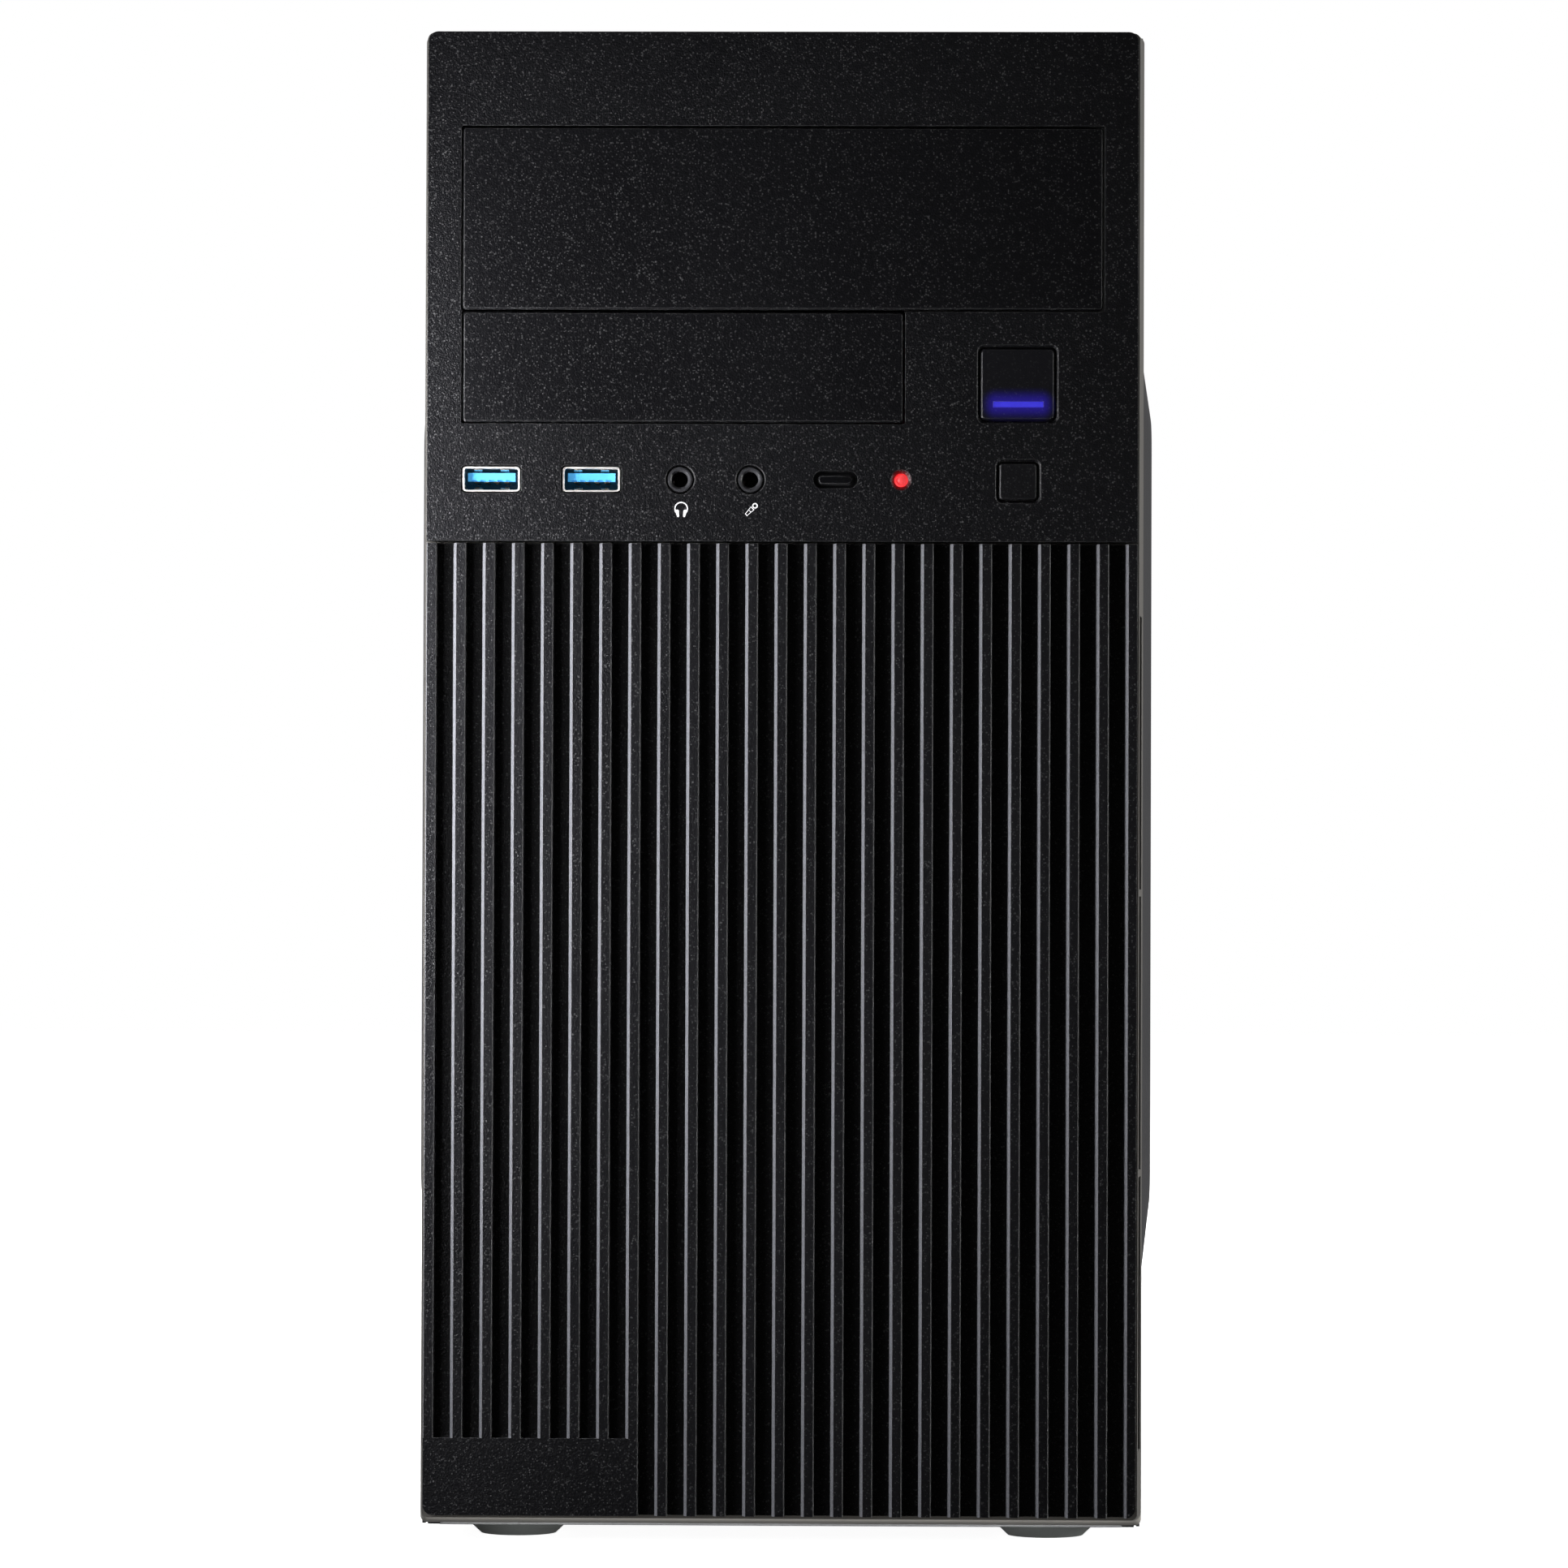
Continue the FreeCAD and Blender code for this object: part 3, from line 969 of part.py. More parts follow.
PARTS = {
    "front_bezel": front_bezel,
    "rib_panel": rib_panel,
    "optical_bay_cover": lambda: cover(OPTICAL, 12.0),
    "drive_bay_cover": lambda: cover(FLOPPY, 7.0),
    "led_lens": led_lens,
    "usb_c_blank": usb_c_blank,
    "power_button": power_button,
    "power_light_bar": power_light_bar,
    "reset_button": reset_button,
    "front_io_board": front_io_board,
    "front_io_bracket": front_io_bracket,
    "usb_shells": usb_shells,
    "usb_tongues": usb_tongues,
    "usb_contacts": usb_contacts,
    "audio_jacks": audio_jacks,
    "button_switches": button_switches,
    "chassis_base": chassis_base,
    "chassis_top": chassis_top,
    "chassis_front_panel": chassis_front_panel,
    "chassis_rear_panel": chassis_rear_panel,
    "motherboard_tray": motherboard_tray,
    "optical_bay_cage": optical_bay_cage,
    "hard_drive_cage": hard_drive_cage,
    "feet": feet,
    "side_panel_left": lambda: side_panel(-1),
    "side_panel_right": lambda: side_panel(1),
    "thumbscrew_left_lower": lambda: thumbscrew(-THUMB_X, EAR_Z[0]),
    "thumbscrew_left_upper": lambda: thumbscrew(-THUMB_X, EAR_Z[1]),
    "thumbscrew_right_lower": lambda: thumbscrew(THUMB_X, EAR_Z[0]),
    "thumbscrew_right_upper": lambda: thumbscrew(THUMB_X, EAR_Z[1]),
    "rear_fan_frame": rear_fan_frame,
    "rear_fan_rotor": rear_fan_rotor,
    "psu_case": psu_case,
    "psu_fan_frame": psu_fan_frame,
    "psu_fan_rotor": psu_fan_rotor,
    "psu_inlet": psu_inlet,
    "psu_rocker": psu_rocker,
    "motherboard": motherboard,
    "board_standoffs": board_standoffs,
    "machine_screws": machine_screws,
    "cpu_socket": cpu_socket,
    "cpu": cpu,
    "cpu_heatsink": cpu_heatsink,
    "cpu_fan_frame": cpu_fan_frame,
    "cpu_fan_rotor": cpu_fan_rotor,
    "memory_slots": memory_slots,
    "memory_modules": memory_modules,
    "memory_latch_front": lambda: memory_latch(MEMORY_Y[0]),
    "memory_latch_rear": lambda: memory_latch(MEMORY_Y[1]),
    "expansion_slots": expansion_slots,
    "chipset_heatsink": chipset_heatsink,
    "rear_ports": rear_ports,
    "board_connectors": board_connectors,
    "board_battery": board_battery,
    "board_capacitors": board_capacitors,
    "io_shield": io_shield,
    "slot_covers": slot_covers,
    "hard_drive": hard_drive,
    "power_cables": power_cables,
    "signal_cables": signal_cables,
}


def main():
    os.makedirs("parts", exist_ok=True)
    for name, build in PARTS.items():
        shape = build()
        shape.translate(V(0, -CENTRE_Y, 0))
        shape.exportStep("parts/" + name + ".step")


main()
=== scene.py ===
import bpy
import bmesh
import math
import random
from mathutils import Matrix, Vector


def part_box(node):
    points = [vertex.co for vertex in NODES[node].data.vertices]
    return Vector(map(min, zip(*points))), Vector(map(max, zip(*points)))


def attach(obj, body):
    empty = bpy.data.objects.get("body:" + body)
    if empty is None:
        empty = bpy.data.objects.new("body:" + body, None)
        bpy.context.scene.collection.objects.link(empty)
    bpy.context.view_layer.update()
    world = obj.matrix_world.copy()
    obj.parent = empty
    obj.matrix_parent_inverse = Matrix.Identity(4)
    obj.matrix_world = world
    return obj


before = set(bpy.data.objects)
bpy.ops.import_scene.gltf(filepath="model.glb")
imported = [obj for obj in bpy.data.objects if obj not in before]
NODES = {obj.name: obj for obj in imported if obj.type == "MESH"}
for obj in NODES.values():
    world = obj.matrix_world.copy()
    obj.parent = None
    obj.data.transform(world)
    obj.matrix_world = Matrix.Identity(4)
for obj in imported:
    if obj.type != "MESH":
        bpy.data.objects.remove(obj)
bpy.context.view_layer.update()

MM = 0.001

# The front face: its plane, its middle and its lower edge, read from the bezel and the ribbed panel.
FACE_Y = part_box("front_bezel")[0].y
FACE_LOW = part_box("rib_panel")[0].z
FACE_HEIGHT = 344.4 * MM
FACE_MID = FACE_LOW + FACE_HEIGHT / 2


# ------------------------------------------------------------------ shader kit

class Surface:
    """A node material under construction: thin helpers around the shader nodes."""

    def __init__(self, name):
        self.material = bpy.data.materials.new(name)
        self.material.use_nodes = True
        self.tree = self.material.node_tree
        self.shader = self.tree.nodes["Principled BSDF"]
        self.coords = self.add("ShaderNodeTexCoord").outputs["Object"]
        self.bumps = None

    def add(self, kind, settings=None, **inputs):
        node = self.tree.nodes.new(kind)
        for key, value in (settings or {}).items():
            setattr(node, key, value)
        for key, value in inputs.items():
            self.feed(node.inputs[key.replace("_", " ")], value)
        return node

    def feed(self, socket, value):
        if isinstance(value, bpy.types.NodeSocket):
            self.tree.links.new(value, socket)
        else:
            socket.default_value = value

    def stretched(self, scale, turn=(0, 0, 0)):
        node = self.add("ShaderNodeMapping", Vector=self.coords, Scale=scale, Rotation=turn)
        return node.outputs["Vector"]

    def noise(self, scale, detail=2.0, rough=0.5, coords=None):
        node = self.add("ShaderNodeTexNoise", Vector=coords or self.coords, Scale=scale, Detail=detail,
                        Roughness=rough)
        return node.outputs["Fac"]

    def voronoi(self, scale, coords=None):
        return self.add("ShaderNodeTexVoronoi", {"feature": "F1"}, Vector=coords or self.coords, Scale=scale)

    def cells(self, scale):
        return self.voronoi(scale).outputs["Distance"]

    def axis(self, letter):
        """One coordinate of the surface point, in the object's frame."""
        return self.add("ShaderNodeSeparateXYZ", Vector=self.coords).outputs[letter]

    def math(self, operation, a, b=0.0):
        node = self.add("ShaderNodeMath", {"operation": operation})
        self.feed(node.inputs[0], a)
        self.feed(node.inputs[1], b)
        return node.outputs[0]

    def band(self, value, low, high, to_low=0.0, to_high=1.0, smooth=False):
        """Value mapped from low..high to to_low..to_high, and held beyond them."""
        node = self.add("ShaderNodeMapRange", {"interpolation_type": "SMOOTHSTEP" if smooth else "LINEAR"})
        for key, number in zip(("Value", "From Min", "From Max", "To Min", "To Max"),
                               (value, low, high, to_low, to_high)):
            self.feed(node.inputs[key], number)
        return node.outputs["Result"]

    def mix(self, factor, a, b):
        node = self.add("ShaderNodeMix", {"data_type": "RGBA"})
        self.feed(node.inputs["Factor"], factor)
        self.feed(node.inputs["A"], colour(a) if isinstance(a, tuple) else a)
        self.feed(node.inputs["B"], colour(b) if isinstance(b, tuple) else b)
        return node.outputs["Result"]

    def bump(self, height, depth, strength=1.0):
        """Adds relief of that depth in metres on top of what is there."""
        inputs = {"Height": height, "Distance": depth, "Strength": strength}
        if self.bumps is not None:
            inputs["Normal"] = self.bumps
        self.bumps = self.add("ShaderNodeBump", **inputs).outputs["Normal"]

    def soften(self, radius):
        """Rounds the look of sharp edges and returns a mask of them."""
        rounded = self.add("ShaderNodeBevel", {"samples": 4}, Radius=radius).outputs["Normal"]
        flat = self.add("ShaderNodeNewGeometry").outputs["Normal"]
        dot = self.add("ShaderNodeVectorMath", {"operation": "DOT_PRODUCT"})
        self.tree.links.new(rounded, dot.inputs[0])
        self.tree.links.new(flat, dot.inputs[1])
        if self.bumps is None:
            self.bumps = rounded
        return self.band(dot.outputs["Value"], 0.999, 0.90, 0.0, 1.0)

    def near(self, centre, half, reach):
        """1 on a box-shaped spot fading to 0 over reach outside it."""
        offset = self.add("ShaderNodeVectorMath", {"operation": "SUBTRACT"})
        self.feed(offset.inputs[0], self.coords)
        offset.inputs[1].default_value = centre
        size = self.add("ShaderNodeVectorMath", {"operation": "ABSOLUTE"})
        self.feed(size.inputs[0], offset.outputs[0])
        beyond = self.add("ShaderNodeVectorMath", {"operation": "SUBTRACT"})
        self.feed(beyond.inputs[0], size.outputs[0])
        beyond.inputs[1].default_value = half
        outside = self.add("ShaderNodeVectorMath", {"operation": "MAXIMUM"})
        self.feed(outside.inputs[0], beyond.outputs[0])
        outside.inputs[1].default_value = (0, 0, 0)
        length = self.add("ShaderNodeVectorMath", {"operation": "LENGTH"})
        self.feed(length.inputs[0], outside.outputs[0])
        fade = self.band(length.outputs["Value"], 0.0, reach, 1.0, 0.0, smooth=True)
        return self.math("POWER", fade, 1.6)

    def finish(self, base, roughness, metallic=0.0, specular=0.5, **extra):
        self.feed(self.shader.inputs["Base Color"], colour(base) if isinstance(base, tuple) else base)
        self.feed(self.shader.inputs["Roughness"], roughness)
        self.shader.inputs["Metallic"].default_value = metallic
        self.shader.inputs["Specular IOR Level"].default_value = specular
        for key, value in extra.items():
            self.feed(self.shader.inputs[key.replace("_", " ")], value)
        if self.bumps is not None:
            self.tree.links.new(self.bumps, self.shader.inputs["Normal"])
        return self.material


def colour(rgb):
    return (rgb[0], rgb[1], rgb[2], 1.0)


def scaled(rgb, k):
    return (rgb[0] * k, rgb[1] * k, rgb[2] * k)


# ------------------------------------------------------------------- materials

def moulded(name, base, grain=1.0, roughness=0.40, edge=0.00014, glow=None, specular=0.5, sparkle=1.0,
            rim=None, arris=None):
    """Spark-textured moulding: fine pits, grains with painted glints (painted highlights), faint flow marks
    and polished edges painted lighter as a highlight.

    glow: see make_finishes; rim: (depth, colour, height) of the skirt zone behind that depth, its colour a
    painted reflection of the pale surroundings and paler below that height as painted light from below;
    arris: (direction, colour) of the chamfers facing that way, painted pale as a highlight of the light from
    that side."""
    s = Surface(name)
    edges = s.soften(edge)
    grain_a = s.noise(2300.0, 2.0, 0.55)
    grain_b = s.noise(1250.0, 2.0, 0.5)
    pits = s.cells(2900.0)
    smooth = 1.0
    if rim:
        skirt = s.band(s.axis("Y"), rim[0], rim[0] + 0.2 * MM)
        smooth = s.math("SUBTRACT", 1.0, s.math("MULTIPLY", skirt, 0.8))
    s.bump(grain_a, 0.00013 * grain, smooth)
    s.bump(grain_b, 0.00009 * grain, smooth)
    s.bump(pits, 0.00006 * grain, smooth)
    # Sparse round grains painted pale: painted glints, standing in for the highlights of the spark texture's
    # sparkle.
    dots = []
    for scale, low, jitter in ((3000.0, 0.84, 0.0), (2100.0, 0.93, 3.7)):
        moved = s.add("ShaderNodeMapping", Vector=s.coords, Location=(jitter, jitter, jitter))
        cell = s.voronoi(scale, moved.outputs["Vector"])
        lone = s.add("ShaderNodeSeparateColor", Color=cell.outputs["Color"]).outputs[0]
        round_off = s.band(cell.outputs["Distance"], 0.34, 0.62, 1.0, 0.0)
        dots.append(s.math("MULTIPLY", s.band(lone, low, 1.0), round_off))
    glint = s.math("MAXIMUM", dots[0], dots[1])
    glint = s.math("MULTIPLY", s.math("MULTIPLY", glint, smooth), sparkle)
    flow = s.noise(9.0, 3.0, 0.55, s.stretched((1.0, 1.0, 0.45)))
    tone = s.mix(s.band(flow, 0.3, 0.7), scaled(base, 0.78), scaled(base, 1.25))
    tone = s.mix(glint, tone, tuple(0.105 + 0.9 * c for c in base))
    # Edges painted lighter: a painted highlight along the rounded edges, which are also made less rough.
    tone = s.mix(s.math("MULTIPLY", edges, 0.9), tone, tuple(0.150 + 1.5 * c for c in base))
    rough = s.band(flow, 0.25, 0.75, roughness - 0.04, roughness + 0.05)
    rough = s.math("SUBTRACT", rough, s.math("MULTIPLY", glint, 0.10))
    rough = s.math("SUBTRACT", rough, s.math("MULTIPLY", edges, 0.06))
    # Skirt zone: its colour is a painted reflection of the pale surroundings on the black moulding, and below
    # the skirt's low edge it is four times paler as painted light from below.
    if rim:
        low = s.band(s.axis("Z"), rim[2], rim[2] + 0.6 * MM, 1.0, 0.0)
        skirt_sheen = s.mix(low, s.mix(s.band(flow, 0.3, 0.7), scaled(rim[1], 0.8), rim[1]), scaled(rim[1], 4.0))
        tone = s.mix(skirt, tone, skirt_sheen)
        rough = s.math("SUBTRACT", rough, s.math("MULTIPLY", skirt, 0.05))
    # Chamfers facing the arris direction get a pale colour in grain-broken patches: a painted highlight of
    # the light from that side.
    if arris:
        facing = s.add("ShaderNodeVectorMath", {"operation": "DOT_PRODUCT"})
        s.feed(facing.inputs[0], s.add("ShaderNodeNewGeometry").outputs["True Normal"])
        facing.inputs[1].default_value = arris[0]
        faces_the_light = s.band(facing.outputs["Value"], 0.93, 0.97)
        patchy_highlight = s.math("MULTIPLY", faces_the_light, s.band(grain_a, 0.35, 0.6, 0.62, 1.0))
        tone = s.mix(patchy_highlight, tone, arris[1])
    extra = {}
    if glow:
        centre, half, reach, tint, power = glow
        spot = s.near(centre, half, reach)
        extra = {"Emission_Color": colour(tint), "Emission_Strength": s.math("MULTIPLY", spot, power)}
    return s.finish(tone, rough, specular=specular, **extra)


def powder_coat(name, base):
    """Black powder coat on sheet steel: orange peel, dust and a few rubbed places."""
    s = Surface(name)
    edges = s.soften(0.0006)
    peel = s.noise(650.0, 2.0, 0.5)
    fine = s.cells(1900.0)
    s.bump(peel, 0.00010, 0.7)
    s.bump(fine, 0.00004, 0.6)
    cloud = s.noise(7.0, 4.0, 0.6)
    rub = s.band(s.noise(38.0, 5.0, 0.7, s.stretched((1.0, 0.25, 1.0))), 0.62, 0.8)
    tone = s.mix(s.band(cloud, 0.3, 0.7), scaled(base, 0.8), scaled(base, 1.35))
    tone = s.mix(s.math("MULTIPLY", s.band(fine, 0.0, 0.25, 1.0, 0.0), 0.25), tone, scaled(base, 3.0))
    # Edges painted paler: a painted highlight along the rounded edges.
    tone = s.mix(s.math("MULTIPLY", edges, 0.35), tone, scaled(base, 3.5))
    rough = s.math("SUBTRACT", s.band(cloud, 0.2, 0.8, 0.44, 0.56), s.math("MULTIPLY", rub, 0.10))
    return s.finish(tone, rough)


def galvanised(name, base):
    """Zinc coated sheet: small spangles, rolling marks, handling scuffs and dull patches."""
    s = Surface(name)
    edges = s.soften(0.0003)
    grey = []
    for scale in (260.0, 90.0):
        grey.append(s.add("ShaderNodeRGBToBW", Color=s.voronoi(scale).outputs["Color"]).outputs[0])
    mixed = s.math("ADD", s.math("MULTIPLY", grey[0], 0.6), s.math("MULTIPLY", grey[1], 0.4))
    rolled = s.noise(60.0, 4.0, 0.6, s.stretched((14.0, 1.0, 14.0)))
    stain = s.noise(13.0, 4.0, 0.62)
    scuff = s.band(s.noise(240.0, 4.0, 0.7, s.stretched((0.12, 1.0, 1.0), (0.4, 0.2, 0.0))), 0.66, 0.74)
    tone = s.mix(s.band(mixed, 0.2, 0.8), scaled(base, 0.88), scaled(base, 1.10))
    tone = s.mix(s.math("MULTIPLY", s.band(stain, 0.52, 0.75), 0.3), tone, scaled(base, 0.7))
    tone = s.mix(s.math("MULTIPLY", scuff, 0.3), tone, scaled(base, 1.35))
    # Edges painted bright: a painted highlight along the rounded edges.
    tone = s.mix(s.math("MULTIPLY", edges, 0.6), tone, (0.74, 0.75, 0.76))
    s.bump(rolled, 0.00003, 0.5)
    s.bump(mixed, 0.00002, 0.3)
    dull = s.math("MULTIPLY", s.band(stain, 0.5, 0.8), 0.10)
    rough = s.math("ADD", s.band(mixed, 0.0, 1.0, 0.42, 0.54), dull)
    return s.finish(tone, rough, metallic=0.85)


def plated(name, base, roughness, metallic=1.0):
    """Plated metal with hairline scratches, finger haze and edges painted bright as a highlight."""
    s = Surface(name)
    edges = s.soften(0.00018)
    hair = s.noise(900.0, 3.0, 0.7, s.stretched((1.0, 0.06, 1.0)))
    haze = s.noise(260.0, 3.0, 0.6)
    s.bump(hair, 0.00001, 0.6)
    tone = s.mix(s.band(haze, 0.3, 0.7), scaled(base, 0.82), scaled(base, 1.08))
    # Edges painted bright: a painted highlight along the rounded edges.
    tone = s.mix(s.math("MULTIPLY", edges, 0.5), tone, tuple(min(1.0, 0.15 + c) for c in base))
    rough = s.band(haze, 0.3, 0.75, roughness - 0.07, roughness + 0.12)
    return s.finish(tone, rough, metallic=metallic)


def aluminium(name, base=(0.70, 0.71, 0.73), along=(1.0, 0.05, 1.0), roughness=0.34):
    """Extruded or machined aluminium with tool lines."""
    s = Surface(name)
    edges = s.soften(0.00022)
    lines = s.noise(1500.0, 3.0, 0.65, s.stretched(along))
    cloud = s.noise(50.0, 4.0, 0.6)
    s.bump(lines, 0.00002, 0.7)
    tone = s.mix(s.band(lines, 0.3, 0.7), scaled(base, 0.86), scaled(base, 1.06))
    tone = s.mix(s.math("MULTIPLY", s.band(cloud, 0.5, 0.8), 0.25), tone, scaled(base, 0.7))
    # Edges painted bright: a painted highlight along the rounded edges.
    tone = s.mix(s.math("MULTIPLY", edges, 0.5), tone, (0.88, 0.89, 0.90))
    return s.finish(tone, s.band(cloud, 0.25, 0.75, roughness - 0.06, roughness + 0.12), metallic=1.0)


def laminate(name, mask, track):
    """Circuit board: solder mask over a copper track pattern, with tinned vias."""
    s = Surface(name)
    s.soften(0.0002)
    lines = []
    for scale, turn in ((230.0, 0.0), (145.0, 0.785)):
        node = s.add("ShaderNodeTexBrick", {"offset": 0.5, "squash": 0.7},
                     Vector=s.stretched((1.0, 1.0, 1.0), (turn, math.pi / 2, 0.0)), Scale=scale,
                     Color1=colour((0, 0, 0)), Color2=colour((0, 0, 0)), Mortar=colour((1, 1, 1)))
        node.inputs["Mortar Size"].default_value = 0.05
        lines.append(node.outputs["Color"])
    zone = s.band(s.noise(55.0, 2.0, 0.5), 0.47, 0.53)
    tracks = s.mix(zone, lines[0], lines[1])
    level = s.add("ShaderNodeRGBToBW", Color=tracks).outputs[0]
    vias = s.band(s.cells(420.0), 0.13, 0.09)
    tone = s.mix(level, mask, track)
    tone = s.mix(s.band(s.noise(30.0, 3.0, 0.5), 0.35, 0.65), tone, scaled(mask, 0.65))
    tone = s.mix(s.math("MULTIPLY", level, 0.7), tone, track)
    tone = s.mix(vias, tone, (0.55, 0.53, 0.45))
    s.bump(level, 0.00004, 0.6)
    s.bump(s.noise(1500.0, 2.0, 0.5), 0.00001, 0.5)
    return s.finish(tone, s.band(s.noise(200.0, 2.0, 0.5), 0.3, 0.7, 0.28, 0.42))


def glossy_plastic(name, base, roughness):
    """Smooth connector plastic with moulding haze and edges painted pale as a highlight."""
    s = Surface(name)
    edges = s.soften(0.00025)
    haze = s.noise(700.0, 3.0, 0.6)
    cloud = s.noise(120.0, 2.0, 0.5)
    s.bump(haze, 0.00002, 0.6)
    tone = s.mix(s.band(cloud, 0.3, 0.7), scaled(base, 0.85), scaled(base, 1.15))
    # Edges painted pale: a painted highlight along the rounded edges.
    tone = s.mix(s.math("MULTIPLY", edges, 0.4), tone, tuple(min(1.0, 0.04 + c * 1.35) for c in base))
    return s.finish(tone, s.band(haze, 0.3, 0.7, roughness - 0.05, roughness + 0.08))


def tongue_blue(name, lit_tint, shaded_tint, power):
    """Blue socket tongue: painted light at its mouth (a paler colour and a glow), painted shade deeper in."""
    s = Surface(name)
    edges = s.soften(0.00012)
    haze = s.noise(700.0, 3.0, 0.6)
    cloud = s.noise(260.0, 3.0, 0.5)
    s.bump(haze, 0.00002, 0.6)
    depth = s.axis("Y")
    # Painted light at the mouth, set by depth behind the face: paler colour and a stronger glow; further in
    # the colour is painted shade, near black at the back.
    mouth = s.band(depth, FACE_Y + 1.95 * MM, FACE_Y + 3.2 * MM, 1.0, 0.0)
    far = s.band(depth, FACE_Y + 6.0 * MM, FACE_Y + 12.0 * MM)
    tone = s.mix(s.band(cloud, 0.3, 0.7), scaled(lit_tint, 0.86), scaled(lit_tint, 1.1))
    # Edges painted paler blue: a painted highlight.
    tone = s.mix(s.math("MULTIPLY", edges, 0.5), tone, (0.45, 0.72, 0.95))
    tone = s.mix(mouth, shaded_tint, tone)
    tone = s.mix(far, tone, scaled(shaded_tint, 0.15))
    glow = s.math("MULTIPLY", s.math("ADD", mouth, 0.05), power)
    return s.finish(tone, s.band(haze, 0.3, 0.7, 0.26, 0.38), Emission_Color=colour(lit_tint),
                    Emission_Strength=glow)


def rubber(name, base):
    """Dull gritty rubber with dust in its pores."""
    s = Surface(name)
    edges = s.soften(0.0004)
    grit = s.noise(800.0, 4.0, 0.65)
    dust = s.band(s.noise(120.0, 4.0, 0.6), 0.5, 0.75)
    s.bump(grit, 0.00012, 0.7)
    tone = s.mix(s.math("MULTIPLY", dust, 0.4), base, tuple(c + 0.07 for c in base))
    # Edges painted paler: a painted highlight along the rounded edges.
    tone = s.mix(s.math("MULTIPLY", edges, 0.3), tone, tuple(c + 0.06 for c in base))
    return s.finish(tone, s.band(grit, 0.3, 0.7, 0.58, 0.74), specular=0.4)


def braided(name, base):
    """Woven sleeve over a bundle of wires."""
    s = Surface(name)
    weave = []
    for turn in (0.785, -0.785):
        node = s.add("ShaderNodeTexWave", {"wave_type": "BANDS", "bands_direction": "DIAGONAL"},
                     Vector=s.stretched((1, 1, 1), (turn, turn, 0)), Scale=420.0, Distortion=0.4)
        weave.append(node.outputs["Fac"])
    height = s.math("MAXIMUM", weave[0], weave[1])
    s.bump(height, 0.0002, 0.9)
    # Low places of the weave painted darker and its crowns paler: painted shade between the threads and
    # painted highlight on them.
    tone = s.mix(s.band(height, 0.3, 0.9), scaled(base, 0.35), scaled(base, 1.5))
    tone = s.mix(s.math("MULTIPLY", s.noise(90.0, 3.0, 0.6), 0.3), tone, scaled(base, 2.2))
    return s.finish(tone, 0.55, specular=0.4)


def cable_jacket(name, base):
    """Soft cable sheath with faint ribs."""
    s = Surface(name)
    ribs = s.add("ShaderNodeTexWave", {"wave_type": "BANDS", "bands_direction": "X"}, Vector=s.coords,
                 Scale=260.0, Distortion=0.6).outputs["Fac"]
    s.bump(ribs, 0.00012, 0.5)
    s.bump(s.noise(900.0, 3.0, 0.6), 0.00003, 0.5)
    tone = s.mix(s.band(s.noise(70.0, 3.0, 0.6), 0.3, 0.7), scaled(base, 0.75), scaled(base, 1.2))
    return s.finish(tone, s.band(ribs, 0.0, 1.0, 0.42, 0.55), specular=0.45)


def lit(name, core, rim, strength):
    """Translucent lens with its lamp on: bright in the grain, paler streaks inside."""
    s = Surface(name)
    s.soften(0.0002)
    streak = s.noise(600.0, 2.0, 0.5)
    tone = s.mix(s.band(streak, 0.3, 0.7), rim, core)
    s.bump(s.noise(1800.0, 2.0, 0.5), 0.00002, 0.4)
    return s.finish(tone, 0.35, Emission_Color=tone, Emission_Strength=strength)


def ink(name):
    """White printing ink, thin in places."""
    s = Surface(name)
    wear = s.band(s.noise(2600.0, 3.0, 0.6), 0.28, 0.42)
    s.bump(s.noise(2200.0, 2.0, 0.6), 0.00003, 0.5)
    tone = s.mix(wear, (0.42, 0.42, 0.43), (0.93, 0.93, 0.93))
    # The faint emission is painted light: it keeps the print pale on the dimly lit front.
    return s.finish(tone, 0.5, Emission_Color=(0.9, 0.9, 0.92, 1.0), Emission_Strength=0.25)


def paper_label(name, base):
    """Foil-faced paper with a fine fibre and a few dull stains."""
    s = Surface(name)
    fibre = s.noise(420.0, 4.0, 0.6, s.stretched((1.0, 0.3, 1.0)))
    s.bump(fibre, 0.00003, 0.5)
    tone = s.mix(s.band(fibre, 0.3, 0.7), scaled(base, 0.92), base)
    tone = s.mix(s.math("MULTIPLY", s.band(s.noise(60.0, 3.0, 0.6), 0.55, 0.8), 0.2), tone, scaled(base, 0.7))
    return s.finish(tone, s.band(fibre, 0.2, 0.8, 0.42, 0.58))


# ------------------------------------------------------------- colours and places

BLACK = (0.0036, 0.0036, 0.0048)
# Colour of the bezel's skirt zone: a painted reflection of the pale surroundings on the black plastic.
SKIRT_SHEEN = (0.094, 0.089, 0.081)
# Pale colour of the ribs' left-facing chamfers: a painted highlight of the light from the left.
CHAMFER_HIGHLIGHT = (0.250, 0.254, 0.275)
LEFT_ARRIS = (-0.7071, -0.7071, 0.0)
SKIRT_FRONT = FACE_Y + 5.2 * MM
# Below this height the skirt zone is painted paler: painted light from below.
SKIRT_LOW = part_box("front_bezel")[0].z + 2.4 * MM
LED_AT = (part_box("led_lens")[0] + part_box("led_lens")[1]) / 2
BAR_LOW, BAR_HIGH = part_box("power_light_bar")
BAR_AT = (BAR_LOW + BAR_HIGH) / 2
BAR_HALF = (BAR_HIGH - BAR_LOW) / 2
RED = (0.90, 0.01, 0.02)
VIOLET = (0.035, 0.015, 0.60)
GLOW_DEPTH = 3.0 * MM
USB_X = (-67.54 * MM, -44.30 * MM)
JACK_X = (-23.67 * MM, -7.36 * MM)


